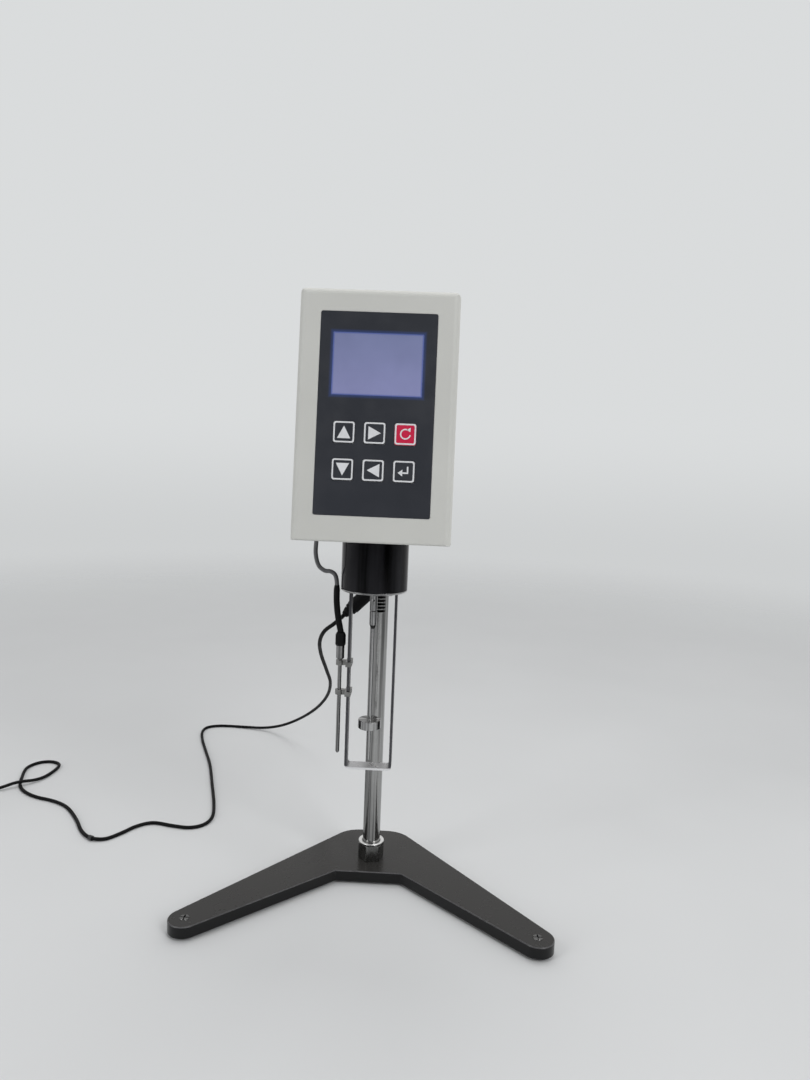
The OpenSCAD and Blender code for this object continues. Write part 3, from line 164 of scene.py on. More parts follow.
class Nodes:
    """Lays out the nodes of one tree."""

    def __init__(self, tree):
        self.tree = tree

    def add(self, kind, inputs=None, **settings):
        node = self.tree.nodes.new(kind)
        for name, value in settings.items():
            setattr(node, name, value)
        self.fill(node, inputs or {})
        return node

    def fill(self, node, inputs):
        for name, value in inputs.items():
            self.feed(node.inputs[name], value)

    def feed(self, socket, value):
        if isinstance(value, bpy.types.NodeSocket):
            self.tree.links.new(value, socket)
        else:
            socket.default_value = value

    def math(self, operation, a, b=0.0, clamp=False):
        node = self.add("ShaderNodeMath", {0: a, 1: b}, operation=operation)
        node.use_clamp = clamp
        return node.outputs[0]

    def times(self, a, b):
        return self.math("MULTIPLY", a, b)

    def less(self, a, b):
        return self.math("SUBTRACT", a, b)

    def vector(self, operation, a, b=(0, 0, 0)):
        return self.add("ShaderNodeVectorMath", {0: a, 1: b}, operation=operation).outputs[0]

    def span(self, value, low, high, to_low=0.0, to_high=1.0, smooth=False):
        """Value carried from one range to another and kept inside it."""
        node = self.add("ShaderNodeMapRange", {
            "Value": value, "From Min": low, "From Max": high, "To Min": to_low, "To Max": to_high,
        })
        node.interpolation_type = "SMOOTHSTEP" if smooth else "LINEAR"
        return node.outputs["Result"]

    def noise(self, vector, scale=1.0, detail=2.0, roughness=0.5):
        node = self.add("ShaderNodeTexNoise", {
            "Vector": vector, "Scale": scale, "Detail": detail, "Roughness": roughness,
        })
        return node.outputs["Fac"]

    def mix(self, factor, a, b, how="MIX"):
        """Two colours mixed: the node's colour sockets are 6 and 7, and its colour output is 2."""
        node = self.add("ShaderNodeMix", data_type="RGBA", blend_type=how)
        self.feed(node.inputs[0], factor)
        self.feed(node.inputs[6], a)
        self.feed(node.inputs[7], b)
        return node.outputs[2]

    def part(self, vector, axis):
        return self.add("ShaderNodeSeparateXYZ", {0: vector}).outputs[axis]

    def place(self):
        """Position on the piece in millimetres."""
        coordinates = self.add("ShaderNodeTexCoord").outputs["Object"]
        return self.vector("MULTIPLY", coordinates, (1 / MM,) * 3)

    def height(self):
        return self.part(self.place(), "Z")

    def reach(self, vector):
        return self.add("ShaderNodeVectorMath", {0: vector}, operation="LENGTH").outputs["Value"]

    def arm(self, axis):
        """Level arm to the position from an upright axis through a point in millimetres."""
        return self.vector("MULTIPLY", self.vector("SUBTRACT", self.place(), axis), (1.0, 1.0, 0.0))

    def bump(self, height, depth, normal):
        return self.add("ShaderNodeBump", {
            "Height": height, "Distance": depth * MM, "Strength": 1.0, "Normal": normal,
        }).outputs["Normal"]

    def effect(self, name, **inputs):
        node = self.add("ShaderNodeGroup", node_tree=effect_tree(name))
        for label, value in inputs.items():
            self.feed(node.inputs[label.replace("_", " ").capitalize()], value)
        return node.outputs


EFFECTS = {}
# Colour of dust, also laid on the base's top as painted sheen.
DUST_AND_SHEEN = (0.42, 0.40, 0.37, 1)
# By how much full dust and a full hairline roughen a surface.
DUST_ROUGHENS, LINE_ROUGHENS = 0.8, 0.12


def effect(name, inputs, outputs):
    """Names a shared effect: its inputs with their defaults, and its outputs."""
    def keep(build):
        EFFECTS[name] = (inputs, outputs, build)
        return build
    return keep


def effect_tree(name):
    """The effect's node group, built the first time that it is asked for."""
    tree = bpy.data.node_groups.get(name)
    if tree is None:
        inputs, outputs, build = EFFECTS[name]
        tree = bpy.data.node_groups.new(name, "ShaderNodeTree")
        for label, value in inputs.items():
            kind = "NodeSocketVector" if isinstance(value, tuple) else "NodeSocketFloat"
            tree.interface.new_socket(label, in_out="INPUT", socket_type=kind).default_value = value
        for label, kind in outputs.items():
            tree.interface.new_socket(label, in_out="OUTPUT", socket_type="NodeSocket" + kind)
        nodes = Nodes(tree)
        made = build(nodes, nodes.add("NodeGroupInput").outputs)
        end = nodes.add("NodeGroupOutput")
        for label, socket in made.items():
            tree.links.new(socket, end.inputs[label])
    return tree


@effect("Moulded grain", {"Size": 0.3}, {"Height": "Float"})
def moulded_grain(nodes, given):
    """Fine leathery grain of a moulded surface; Size is in millimetres."""
    place = nodes.place()
    fine = nodes.noise(place, nodes.math("DIVIDE", 1.0, given["Size"]), 3.0, 0.62)
    broad = nodes.noise(place, nodes.math("DIVIDE", 0.3, given["Size"]), 1.0)
    both = nodes.math("ADD", nodes.times(fine, 0.8), nodes.times(broad, 0.2))
    return {"Height": both}


@effect("Handling", {"Size": 30.0}, {"Smudge": "Float", "Tone": "Float"})
def handling(nodes, given):
    """Smudges where hands touch, and a slow change of tone; Size is in millimetres."""
    place = nodes.place()
    scale = nodes.math("DIVIDE", 1.0, given["Size"])
    slow = nodes.noise(place, scale, 2.0)
    apart = nodes.vector("ADD", place, (130.0, 40.0, 70.0))
    marks = nodes.noise(apart, nodes.times(scale, 2.7), 5.0, 0.6)
    return {"Smudge": nodes.span(marks, 0.36, 0.68, smooth=True), "Tone": nodes.span(slow, 0.3, 0.7)}


@effect("Edge wear and highlight", {"Radius": 0.0004, "Breaks": 1.0}, {"Edge": "Float", "Normal": "Vector"})
def edge_wear_and_highlight(nodes, given):
    """Lit corners as painted highlight and wear, broken up a little, and the rounded normal there."""
    rounded = nodes.add("ShaderNodeBevel", {"Radius": given["Radius"]}, samples=6).outputs["Normal"]
    flat = nodes.add("ShaderNodeNewGeometry").outputs["Normal"]
    node = nodes.add("ShaderNodeVectorMath", {0: rounded, 1: flat}, operation="DOT_PRODUCT")
    bend = nodes.less(1.0, node.outputs["Value"])
    wear_and_highlight = nodes.span(nodes.noise(nodes.place(), 0.17, 3.0, 0.6), 0.3, 0.62)
    gaps = nodes.times(nodes.less(1.0, wear_and_highlight), given["Breaks"])
    whole = nodes.less(1.0, gaps)
    edge = nodes.times(nodes.span(bend, 0.02, 0.2, smooth=True), whole)
    return {"Edge": edge, "Normal": rounded}


@effect("Settled dust and top sheen", {"Specks": 1.0, "Even": 0.0}, {"Dust": "Float"})
def settled_dust_and_top_sheen(nodes, given):
    """Thin dust on what faces up in patches and specks, with at least Even everywhere as painted sheen.
    """
    normal = nodes.add("ShaderNodeNewGeometry").outputs["Normal"]
    up = nodes.part(normal, "Z")
    place = nodes.place()
    patch_size = 14
    patches = nodes.noise(place, 1 / patch_size, 3.0, 0.6)
    specks = nodes.noise(place, 2.4, 1.0)
    film = nodes.math("MAXIMUM", nodes.times(nodes.span(patches, 0.4, 0.75), 0.55), given["Even"])
    spread = nodes.math("ADD", film, nodes.times(nodes.span(specks, 0.69, 0.74), given["Specks"]))
    return {"Dust": nodes.math("MULTIPLY", nodes.span(up, 0.6, 0.98), spread, clamp=True)}


@effect("Hairlines", {"Stretch": (1.0, 1.0, 0.02), "Size": 0.25}, {"Height": "Float", "Line": "Float"})
def hairlines(nodes, given):
    """Fine lines drawn out along the axis with the smallest stretch; Size is in millimetres."""
    drawn = nodes.vector("MULTIPLY", nodes.place(), given["Stretch"])
    scale = nodes.math("DIVIDE", 1.0, given["Size"])
    line = nodes.noise(drawn, scale, 3.0, 0.7)
    return {"Height": line, "Line": nodes.span(line, 0.62, 0.72, smooth=True)}


@effect("Painted reflection streaks", {"Axis": (0.0, 0.0, 0.0), "Turns": 3.0}, {"Streak": "Float"})
def painted_reflection_streaks(nodes, given):
    """Long painted reflection bands round a polished rod; Axis is a point in mm, Turns how many bands.
    """
    outward = nodes.vector("NORMALIZE", nodes.arm(given["Axis"]))
    around = nodes.vector("MULTIPLY", outward, given["Turns"])
    along = nodes.vector("MULTIPLY", nodes.place(), (0.0, 0.0, 0.004))
    band = nodes.noise(nodes.vector("ADD", around, along), 1.0, 3.0, 0.55)
    return {"Streak": nodes.span(band, 0.36, 0.64, smooth=True)}


@effect("Display place", {}, {"Side": "Float", "End": "Float", "Rise": "Float"})
def display_place(nodes, given):
    """Millimetres in from the display's sides and ends; Rise is -1 at its foot and 1 at its top."""
    lean = bpy.context.scene.viscometer_face.lean
    low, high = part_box("display_window")
    up_face = (face_place().inverted() @ centre("display_window")).y
    mapping = nodes.add("ShaderNodeMapping", {
        "Vector": nodes.add("ShaderNodeTexCoord").outputs["Object"],
        "Location": face_place() @ Vector((0, up_face, 0)),
        "Rotation": (pi / 2 - lean, 0, 0), "Scale": (MM, MM, MM),
    }, vector_type="TEXTURE")
    across, rise = (nodes.part(mapping.outputs[0], axis) for axis in "XY")
    half_wide, half_high = (high.x - low.x) / 2 / MM, (high.z - low.z) / 2 / cos(lean) / MM
    return {
        "Side": nodes.less(half_wide, nodes.math("ABSOLUTE", across)),
        "End": nodes.less(half_high, nodes.math("ABSOLUTE", rise)),
        "Rise": nodes.math("DIVIDE", rise, half_high),
    }


def new_material(name):
    material = bpy.data.materials.new(name)
    material.use_nodes = True
    tree = material.node_tree
    return material, Nodes(tree), tree.nodes["Principled BSDF"]


def new_finish(
    name, shade, roughness, metallic=0.0, tone=0.1, tone_size=30.0, smudge=0.08, grain=0.0,
    grain_size=0.3, edge=0.0, edge_shade=(0.7, 0.7, 0.7), breaks=1.0, radius=0.35, dust=0.0,
    specks=1.0, even=0.0, hairline=0.0, stretch=(1.0, 1.0, 0.02), line_size=0.25, coat=0.0,
    gloss=0.5, paint=None,
):
    """A finish built from the shared effects: heights, sizes and the edge radius are in millimetres."""
    material, nodes, shader = new_material(name)
    nodes.fill(shader, {"Metallic": metallic, "Specular IOR Level": gloss})
    if coat:
        nodes.fill(shader, {"Coat Weight": coat, "Coat Roughness": 0.04})
    marks = nodes.effect("Handling", size=tone_size)
    dark = (*(c * (1 - tone) for c in shade), 1)
    light = (*(min(1.0, c * (1 + tone)) for c in shade), 1)
    colour_now = nodes.mix(marks["Tone"], dark, light)
    if paint:
        colour_now = paint(nodes, colour_now)
    rough = nodes.math("ADD", nodes.times(marks["Smudge"], smudge), roughness)
    wear_and_highlight = nodes.effect("Edge wear and highlight", radius=radius * MM, breaks=breaks)
    # Painted highlight together with wear: the edges take a paler colour.
    if edge:
        share = nodes.times(wear_and_highlight["Edge"], edge)
        colour_now = nodes.mix(share, colour_now, (*edge_shade, 1))
    if dust:
        share = nodes.times(nodes.effect("Settled dust and top sheen", specks=specks, even=even)["Dust"], dust)
        colour_now = nodes.mix(share, colour_now, DUST_AND_SHEEN)
        rough = nodes.math("ADD", rough, nodes.times(share, DUST_ROUGHENS), clamp=True)
    normal = wear_and_highlight["Normal"]
    if grain:
        normal = nodes.bump(nodes.effect("Moulded grain", size=grain_size)["Height"], grain, normal)
    if hairline:
        lines = nodes.effect("Hairlines", stretch=stretch, size=line_size)
        normal = nodes.bump(lines["Height"], hairline, normal)
        rough = nodes.math("ADD", rough, nodes.times(lines["Line"], LINE_ROUGHENS), clamp=True)
    nodes.fill(shader, {"Base Color": colour_now, "Roughness": rough, "Normal": normal})
    return material


def dress(material, *names):
    """Gives a finish to CAD nodes."""
    for name in names:
        frame["nodes"][name].material_slots[0].material = material


def finish(name, *arguments, **values):
    """The finish of that name, built the first time that it is asked for."""
    return bpy.data.materials.get(name) or new_finish(name, *arguments, **values)


def metal(name, shade, roughness, **values):
    return finish(name, shade, roughness, metallic=1.0, **values)


def colours():
    return bpy.context.scene.viscometer_colours


# ---- Finishes ----

def rubber():
    return finish("Lead rubber", colours().rubber, 0.55, tone=0.25, smudge=0.16, grain=0.03,
                  grain_size=0.22, dust=0.012, radius=0.2, gloss=0.12)


def black_plastic():
    return finish("Satin black plastic", colours().plastic, 0.36, tone=0.15, smudge=0.14, grain=0.015,
                  grain_size=0.35, edge=0.25, edge_shade=(0.08, 0.08, 0.08), dust=0.1, gloss=0.35)


def plated_steel():
    return metal("Plated steel", (0.52, 0.52, 0.51), 0.24, tone_size=9.0, smudge=0.12, grain=0.001,
                 grain_size=0.6, edge=0.3, edge_shade=(0.85, 0.85, 0.83), radius=0.15)


def grey(value):
    return (value, value, value, 1)


def reflection_banded(axis, turns, dark, light):
    """Painted reflection that darkens and lightens a polished rod in bands round its axis."""
    def paint(nodes, base):
        band = nodes.effect("Painted reflection streaks", axis=axis, turns=turns)["Streak"]
        shade = nodes.mix(band, grey(dark), grey(light))
        return nodes.mix(1.0, base, shade, "MULTIPLY")
    return paint


def axis_of(node):
    """A point on the upright axis of a turned CAD node, in millimetres."""
    return tuple(c / MM for c in centre(node))


def ground_steel():
    return metal("Ground stainless", colours().stainless, 0.17, tone=0.06, tone_size=12.0,
                 hairline=0.0006, stretch=(0.05, 0.05, 1.0), line_size=0.4, radius=0.15)


def sheet_steel():
    return metal("Rolled steel sheet", (0.42, 0.43, 0.44), 0.3, tone=0.08, smudge=0.1, hairline=0.001,
                 stretch=(1.0, 1.0, 0.03), edge=0.25, edge_shade=(0.8, 0.8, 0.8), radius=0.2)


def bronze():
    return metal("Sintered bronze", (0.50, 0.29, 0.11), 0.34, tone=0.2, tone_size=5.0, grain=0.01,
                 grain_size=0.25, radius=0.1)


def board_green():
    def tracks(nodes, base):
        cell = nodes.add("ShaderNodeTexVoronoi", {"Vector": nodes.place(), "Scale": 0.22},
                         distance="CHEBYCHEV", feature="F1").outputs["Distance"]
        waves = nodes.math("FRACT", nodes.times(cell, 1.6))
        track = nodes.span(waves, 0.62, 0.66)
        return nodes.mix(track, base, (0.035, 0.16, 0.06, 1))
    return finish("Circuit board", (0.012, 0.085, 0.03), 0.32, smudge=0.05, paint=tracks, radius=0.1)


def pale_ink():
    return finish("Pale ink", colours().ink, 0.42, tone=0.04, tone_size=6.0, smudge=0.06, grain=0.004,
                  grain_size=0.1, radius=0.03)


# ---- Meshes ----

def new_object(name, data):
    data.name = name
    made = bpy.data.objects.new(name, data)
    bpy.context.scene.collection.objects.link(made)
    return made


def new_mesh(vertices, faces):
    mesh = bpy.data.meshes.new("piece")
    mesh.from_pydata(vertices, [], faces)
    return mesh


def new_piece(name, mesh, body, material):
    """Links a mesh as a piece that rides on a body, with its finish."""
    mesh.materials.append(material)
    piece = new_object(name, mesh)
    if body:
        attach(piece, body)
    return piece


def smooth_line(points, steps):
    """Smooth curve through points, with so many samples in each span."""
    line = []
    for i in range(len(points) - 1):
        a, b, c, d = (Vector(points[min(max(i + k, 0), len(points) - 1)]) for k in (-1, 0, 1, 2))
        for k in range(steps):
            t = k / steps
            line.append(0.5 * (2 * b + (c - a) * t + (2 * a - 5 * b + 4 * c - d) * t ** 2
                               + (3 * b - a - 3 * c + d) * t ** 3))
    return line + [Vector(points[-1])]


def band_faces(rows, steps):
    """Quads between so many rings, each of so many points."""
    return [
        (i * steps + k, i * steps + n, (i + 1) * steps + n, (i + 1) * steps + k)
        for i in range(rows - 1) for k, n in zip(range(steps), (*range(1, steps), 0))
    ]


def tube_mesh(points, radii, sides=16):
    """Closed tube along points, with one radius for each point."""
    last = len(points) - 1
    turns = [2 * pi * k / sides for k in range(sides)]
    vertices, side = [], None
    for i, point in enumerate(points):
        ahead = (points[min(i + 1, last)] - points[max(i - 1, 0)]).normalized()
        side = ahead.orthogonal() if side is None else side
        side = (side - ahead * side.dot(ahead)).normalized()
        over = ahead.cross(side)
        vertices += [point + radii[i] * (cos(t) * side + sin(t) * over) for t in turns]
    ends = [tuple(reversed(range(sides))), tuple(last * sides + k for k in range(sides))]
    mesh = new_mesh(vertices, band_faces(len(points), sides) + ends)
    mesh.polygons.foreach_set("use_smooth", [len(p.vertices) == 4 for p in mesh.polygons])
    mesh.update()
    return mesh


def plate_mesh(shapes, thickness, place):
    """Flat printed shapes, each an outline and its holes, with a thickness, carried to a place."""
    bm = bmesh.new()
    for outlines in shapes:
        edges = []
        for ring in outlines:
            corners = [bm.verts.new((x, y, thickness)) for x, y in ring]
            edges += [bm.edges.new((a, b)) for a, b in zip(corners, corners[1:] + corners[:1])]
        bmesh.ops.triangle_fill(bm, use_beauty=True, use_dissolve=False, edges=edges, normal=(0, 0, 1))
    grown = bmesh.ops.extrude_face_region(bm, geom=list(bm.faces), use_keep_orig=True)
    for item in grown["geom"]:
        if isinstance(item, bmesh.types.BMVert):
            item.co.z = 0.0
    bmesh.ops.recalc_face_normals(bm, faces=bm.faces)
    mesh = new_mesh([], [])
    bm.to_mesh(mesh)
    bm.free()
    mesh.transform(place)
    mesh.update()
    return mesh


def lathe_mesh(profile, place, steps=48):
    """Surface turned from a profile of (radius, height) round the Z axis, closed if the profile is."""
    turns = [2 * pi * k / steps for k in range(steps)]
    vertices = [(r * cos(t), r * sin(t), height) for r, height in profile for t in turns]
    mesh = new_mesh(vertices, band_faces(len(profile), steps))
    bm = bmesh.new()
    bm.from_mesh(mesh)
    bmesh.ops.remove_doubles(bm, verts=bm.verts, dist=1e-7)
    bmesh.ops.recalc_face_normals(bm, faces=bm.faces)
    bm.to_mesh(mesh)
    bm.free()
    mesh.polygons.foreach_set("use_smooth", [True] * len(mesh.polygons))
    mesh.transform(place)
    mesh.update()
    return mesh


def in_metres(points):
    return [(x * MM, y * MM) for x, y in points]


def arc(radius, start, end, steps=24):
    turns = [radians(start + (end - start) * k / steps) for k in range(steps + 1)]
    return [(radius * cos(t), radius * sin(t)) for t in turns]


def rounded_square(side, corner):
    """Outline of a square with round corners, about its middle."""
    points, reach = [], side / 2 - corner
    for turn, (right, up) in enumerate(((1, 1), (-1, 1), (-1, -1), (1, -1))):
        bend = arc(corner, 90 * turn, 90 * turn + 90, 8)
        points += [(right * reach + x, up * reach + y) for x, y in bend]
    return points


def circle(radius, steps):
    return arc(radius, 0, 360 * (steps - 1) / steps, steps - 1)


def on_top(node, sunk):
    """Place on the middle of a CAD node's top, sunk into it by so much."""
    middle = centre(node)
    return Matrix.Translation((middle.x, middle.y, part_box(node)[1].z - sunk))


def face_place():
    """Frame of the sloping face: X right, Y up the slope from its lower edge, Z outward."""
    face = bpy.context.scene.viscometer_face
    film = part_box("membrane_panel")[0]
    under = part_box("front_housing")[0].z
    front = film.y + face.film_stand * cos(face.lean) - face.panel_low * sin(face.lean)
    return Matrix.Translation((0, front, under)) @ Matrix.Rotation(pi / 2 - face.lean, 4, "X")


# ---- Routes of the leads, in millimetres ----

POWER_START = (-27.36, 5, 252.64)
POWER_DROP = [
    (-36, 8, 244), (-46, 19, 234), (-53, 44, 218), (-56, 79, 197), (-56, 124, 169), (-57, 170, 141),
    (-67, 226, 108), (-87, 287, 72), (-114, 338, 40), (-144, 374, 16), (-172, 392, 4.5),
]
POWER_TABLE = [
    (-203, 398), (-232, 399), (-249, 391), (-252, 374), (-244, 345), (-228, 305), (-212, 265),
    (-195, 212), (-180, 164), (-173, 132), (-177, 114), (-190, 106), (-208, 108), (-229, 112),
    (-243, 103), (-252.5, 87.5), (-263.5, 74), (-277.5, 73), (-292.5, 86.5), (-309, 111),
    (-329, 135), (-349, 148), (-373, 156), (-391, 167), (-404, 182), (-413, 204),
    (-420, 229.5), (-413, 246), (-398.5, 250), (-386.5, 240), (-386.5, 213.5),
]
POWER_HUMP = [(-393, 196, 3), (-407, 181, 5.6), (-423, 168, 3), (-444, 154, 2)]
# Height of the lead's underside over the table at some of these points, where it is not 0.
TABLE_LIFTS = {0: 0.3, 16: 0.12, 17: 0.75, 18: 0.12, 30: 0.3}
COIL_CENTRE, COIL_LIFT = (-455, 125), 0.6
# Degrees round the coil: its ends and step, in to the inner turn, up to the top turn, over it and
# out to the nose.
COIL_FROM, COIL_TO, COIL_STEP = 127, 1260, 8
GOES_IN, GOES_UP, GOES_OVER, GOES_OUT = (392, 480), (745, 830), (1112, 1190), (1190, 1245)
# Rise of a turn that lies in the groove between two others, in widths of the lead.
GROOVE_RISE = 0.866
NOSE_HEIGHT, NOSE_DEPTH = 10.1, 3
PROBE_ROUTE = [
    (-47, -37, 322.5), (-47.4, -37, 311), (-45, -37, 301.5), (-40, -37, 297.2),
    (-35, -37, 296.6), (-31.2, -37, 293.6), (-29.7, -37, 286),
]
SLEEVE_ROUTE = [(-29.7, -37, 286), (-29.6, -36.6, 273), (-28.2, -35.9, 260), (-25.7, -35.25, 247.2)]


def eased(value, start, end, low, high):
    """Goes smoothly from low to high as value goes from start to end."""
    share = min(1.0, max(0.0, (value - start) / (end - start)))
    return low + (high - low) * share * share * (3 - 2 * share)


def coil_points(width, middle):
    """The stowed turns: two side by side, one on top of them, then up to the adapter's nose."""
    beside, low = width / 2, COIL_LIFT + width / 2
    centre_x, centre_y = COIL_CENTRE
    points = []
    for angle in range(COIL_FROM, COIL_TO + 1, COIL_STEP):
        radius = middle + eased(angle, *GOES_IN, beside, -beside) + eased(angle, *GOES_UP, 0, beside)
        height = low + eased(angle, *GOES_UP, 0, GROOVE_RISE * width)
        height += eased(angle, *GOES_OVER, 0, width)
        height += eased(angle, *GOES_OUT, 0, NOSE_HEIGHT - low - (1 + GROOVE_RISE) * width)
        turn = radians(angle)
        points.append((centre_x + radius * cos(turn), centre_y + radius * sin(turn), height))
    return points


# ---- Operators ----

OPERATORS = []


def listed(kind):
    """Adds an operator to the list, in the order in which the operators run."""
    OPERATORS.append(kind)
    return kind


@listed
class VISCOMETER_OT_camera(bpy.types.Operator):
    """Puts the camera in front of the instrument, a little above its table"""
    bl_idname = "viscometer.camera"
    bl_label = "Camera"

    def execute(self, context):
        sensor, focal_share = 36.0, 811 / 1080
        eye = Vector((41.58, -673.04, 402.39)) * MM
        fall, turn, roll = radians(6.99), radians(1.661), radians(2.254)
        ahead = Vector((-sin(turn) * cos(fall), cos(turn) * cos(fall), -sin(fall)))
        right = Vector((cos(turn), sin(turn), 0))
        up = right.cross(ahead)
        across = cos(roll) * right + sin(roll) * up
        upward = cos(roll) * up - sin(roll) * right
        camera = bpy.data.cameras.new("Camera")
        camera.sensor_fit = "VERTICAL"
        camera.sensor_height = sensor
        camera.lens = sensor * focal_share
        camera.clip_start, camera.clip_end = 0.02, 100.0
        holder = new_object("Camera", camera)
        turned = Matrix((across, upward, -ahead)).transposed().to_4x4()
        holder.matrix_world = Matrix.Translation(eye) @ turned
        context.scene.camera = holder
        return {"FINISHED"}


@listed
class VISCOMETER_OT_power_lead(bpy.types.Operator):
    """Lays the power lead from its plug to the table and on to its adapter"""
    bl_idname = "viscometer.power_lead"
    bl_label = "Power lead"

    def execute(self, context):
        leads = context.scene.viscometer_leads
        width = leads.power_width / MM
        table = [(x, y, width / 2 + TABLE_LIFTS.get(i, 0)) for i, (x, y) in enumerate(POWER_TABLE)]
        steps = 5
        line = smooth_line([POWER_START] + POWER_DROP + table + POWER_HUMP, steps)
        coil = [Vector(p) for p in coil_points(width, leads.coil_radius / MM)]
        entry = smooth_line([line[-1 - steps], line[-1], coil[0], coil[1]], steps)[steps:2 * steps]
        nose = Vector((coil[-1].x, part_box("power_adapter")[1].y / MM - NOSE_DEPTH, NOSE_HEIGHT))
        points = [p * MM for p in line + entry[1:] + coil + [coil[-1].lerp(nose, 0.5), nose]]
        radii = [leads.power_width / 2] * len(points)
        lead = new_piece("power_lead", tube_mesh(points, radii), None, rubber())
        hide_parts("lead_drop", "lead_run", "lead_coil")
        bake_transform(lead)
        dress(rubber(), "power_plug")
        dress(black_plastic(), "power_adapter")
        tie = finish("Tie plastic", (0.02, 0.02, 0.021), 0.3, tone=0.2, grain=0.01, radius=0.1)
        dress(tie, "lead_ties")
        return {"FINISHED"}


@listed
class VISCOMETER_OT_probe_lead(bpy.types.Operator):
    """Runs the probe's lead from its gland into the sleeve over the probe"""
    bl_idname = "viscometer.probe_lead"
    bl_label = "Probe lead"

    def execute(self, context):
        leads = context.scene.viscometer_leads
        jacket = finish("Grey jacket", colours().probe_rubber, 0.3, tone=0.15, tone_size=12.0,
                        smudge=0.14, grain=0.01, radius=0.1)
        points = [p * MM for p in smooth_line(PROBE_ROUTE + SLEEVE_ROUTE[1:], 8)]
        radii = [leads.probe_width / 2] * len(points)
        lead = new_piece("probe_cable", tube_mesh(points, radii), "head", jacket)
        covered = [p * MM for p in smooth_line(SLEEVE_ROUTE, 10)]
        mouth, full = leads.probe_width / 2 + 0.2 * MM, leads.sleeve_width / 2
        grown = [eased(i, 0, 4, mouth, full) for i in range(len(covered))]
        tube = tube_mesh(covered, grown, 20)
        sleeve = new_piece("probe_sleeve", tube, "head", rubber())
        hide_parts("probe_lead")
        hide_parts("probe_sheath")
        dress(rubber(), "probe_boot", "probe_gland")
        return {"FINISHED"}


@listed
class VISCOMETER_OT_base(bpy.types.Operator):
    """Gives the base its gloss enamel and the feet and lock nut their plating"""
    bl_idname = "viscometer.base"
    bl_label = "Base"

    def execute(self, context):
        # The base's even dust film on its top is painted sheen, which leaves the sides darker than the
        # top.
        enamel = finish("Gloss enamel", colours().enamel, 0.2, tone=0.2, tone_size=80.0, smudge=0.06,
                        grain=0.006, grain_size=2.2, edge=1.0, edge_shade=(0.15, 0.15, 0.155),
                        breaks=0.35, radius=0.6, dust=0.12, specks=0.0, even=0.42, gloss=0.3)
        dress(enamel, "base_plate")
        # The foot screws' plating is darkened as painted shade, for the shadow they sit half in.
        screw = metal("Foot screw steel with painted shade", (0.16, 0.16, 0.158), 0.24, tone=0.2, tone_size=4.0, smudge=0.12,
                      edge=0.6, edge_shade=(0.62, 0.62, 0.61), radius=0.25)
        dress(screw, "foot_left", "foot_right", "foot_rear")
        # The lock nut's plating is darkened: a painted dark reflection on its polished faces.
        nut = metal("Nut plating with painted dark reflection", (0.17, 0.17, 0.166), 0.2, tone=0.25, tone_size=7.0, smudge=0.14,
                    hairline=0.0006, stretch=(0.03, 0.03, 1.0), edge=0.5, edge_shade=(0.5, 0.5, 0.49))
        dress(nut, "lock_nut")
        # A pale ring on the nut's top is a painted highlight on its chamfer.
        low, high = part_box("column")
        play = 0.2 * MM
        bore = (high.x - low.x) / 2 + play
        rim, thick, sunk = 11.75 * MM, 0.7 * MM, 0.1 * MM
        profile = [
            (bore, 0), (rim, 0), (rim, thick * 0.5), (rim - thick * 0.6, thick),
            (bore + 0.6 * MM, thick), (bore, thick * 0.4), (bore, 0),
        ]
        ring = lathe_mesh(profile, on_top("lock_nut", sunk), 64)
        bright = metal("Nut top painted highlight", (0.86, 0.86, 0.85), 0.3, tone=0.05, tone_size=6.0, smudge=0.1,
                       hairline=0.002, stretch=(0.2, 0.2, 1.0), radius=0.15)
        new_piece("nut_highlight_ring", ring, "stand", bright)
        return {"FINISHED"}


@listed
class VISCOMETER_OT_column(bpy.types.Operator):
    """Plates the column, its cap and the rack cut into it"""
    bl_idname = "viscometer.column"
    bl_label = "Column"

    def execute(self, context):
        axis = axis_of("column")
        # Painted reflections: light and dark bands round the column.
        streaks = reflection_banded(axis, 3.1, 0.3, 1.15)
        rack_from, tips, roots = 248, 7.75, 7.2

        def shaded_rack_gaps(nodes, base):
            """Painted shade in the gaps of the rack, told by height and by distance from the axis."""
            rack = nodes.span(nodes.height(), rack_from - 0.5, rack_from)
            gap = nodes.times(rack, nodes.span(nodes.reach(nodes.arm(axis)), tips, roots))
            return nodes.mix(gap, streaks(nodes, base), grey(0.02))

        chrome = metal("Column chrome", colours().chrome, 0.14, tone=0.05, tone_size=22.0,
                       hairline=0.0006, stretch=(1.0, 1.0, 0.03), line_size=0.5, radius=0.1,
                       paint=shaded_rack_gaps)
        dress(chrome, "column")
        dress(black_plastic(), "column_cap")
        return {"FINISHED"}


@listed
class VISCOMETER_OT_lift(bpy.types.Operator):
    """Finishes the lift: its block, bushes, pinion, knobs and clamp screw"""
    bl_idname = "viscometer.lift"
    bl_label = "Lift"

    def execute(self, context):
        paint = finish("Block paint", (0.016, 0.016, 0.017), 0.42, tone=0.2, smudge=0.1, grain=0.03,
                       grain_size=0.5, edge=0.4, edge_shade=(0.12, 0.12, 0.12), dust=0.3)
        dress(paint, "lift_block")
        dress(bronze(), "slide_bushes", "tension_pad")
        dress(plated_steel(), "lift_pinion", "frame_screws", "cover_screws")
        dress(black_plastic(), "lift_knob", "tension_knob")
        return {"FINISHED"}


@listed
class VISCOMETER_OT_housing(bpy.types.Operator):
    """Moulds the two halves of the head's housing"""
    bl_idname = "viscometer.housing"
    bl_label = "Housing"

    def execute(self, context):
        housing = finish("Housing plastic", colours().housing, 0.5, tone=0.025, tone_size=70.0,
                         smudge=0.07, grain=0.022, grain_size=0.42, edge=0.9,
                         edge_shade=(0.84, 0.84, 0.82), breaks=0.2, radius=0.8, dust=0.1, gloss=0.35)
        dress(housing, "front_housing", "rear_cover")
        return {"FINISHED"}


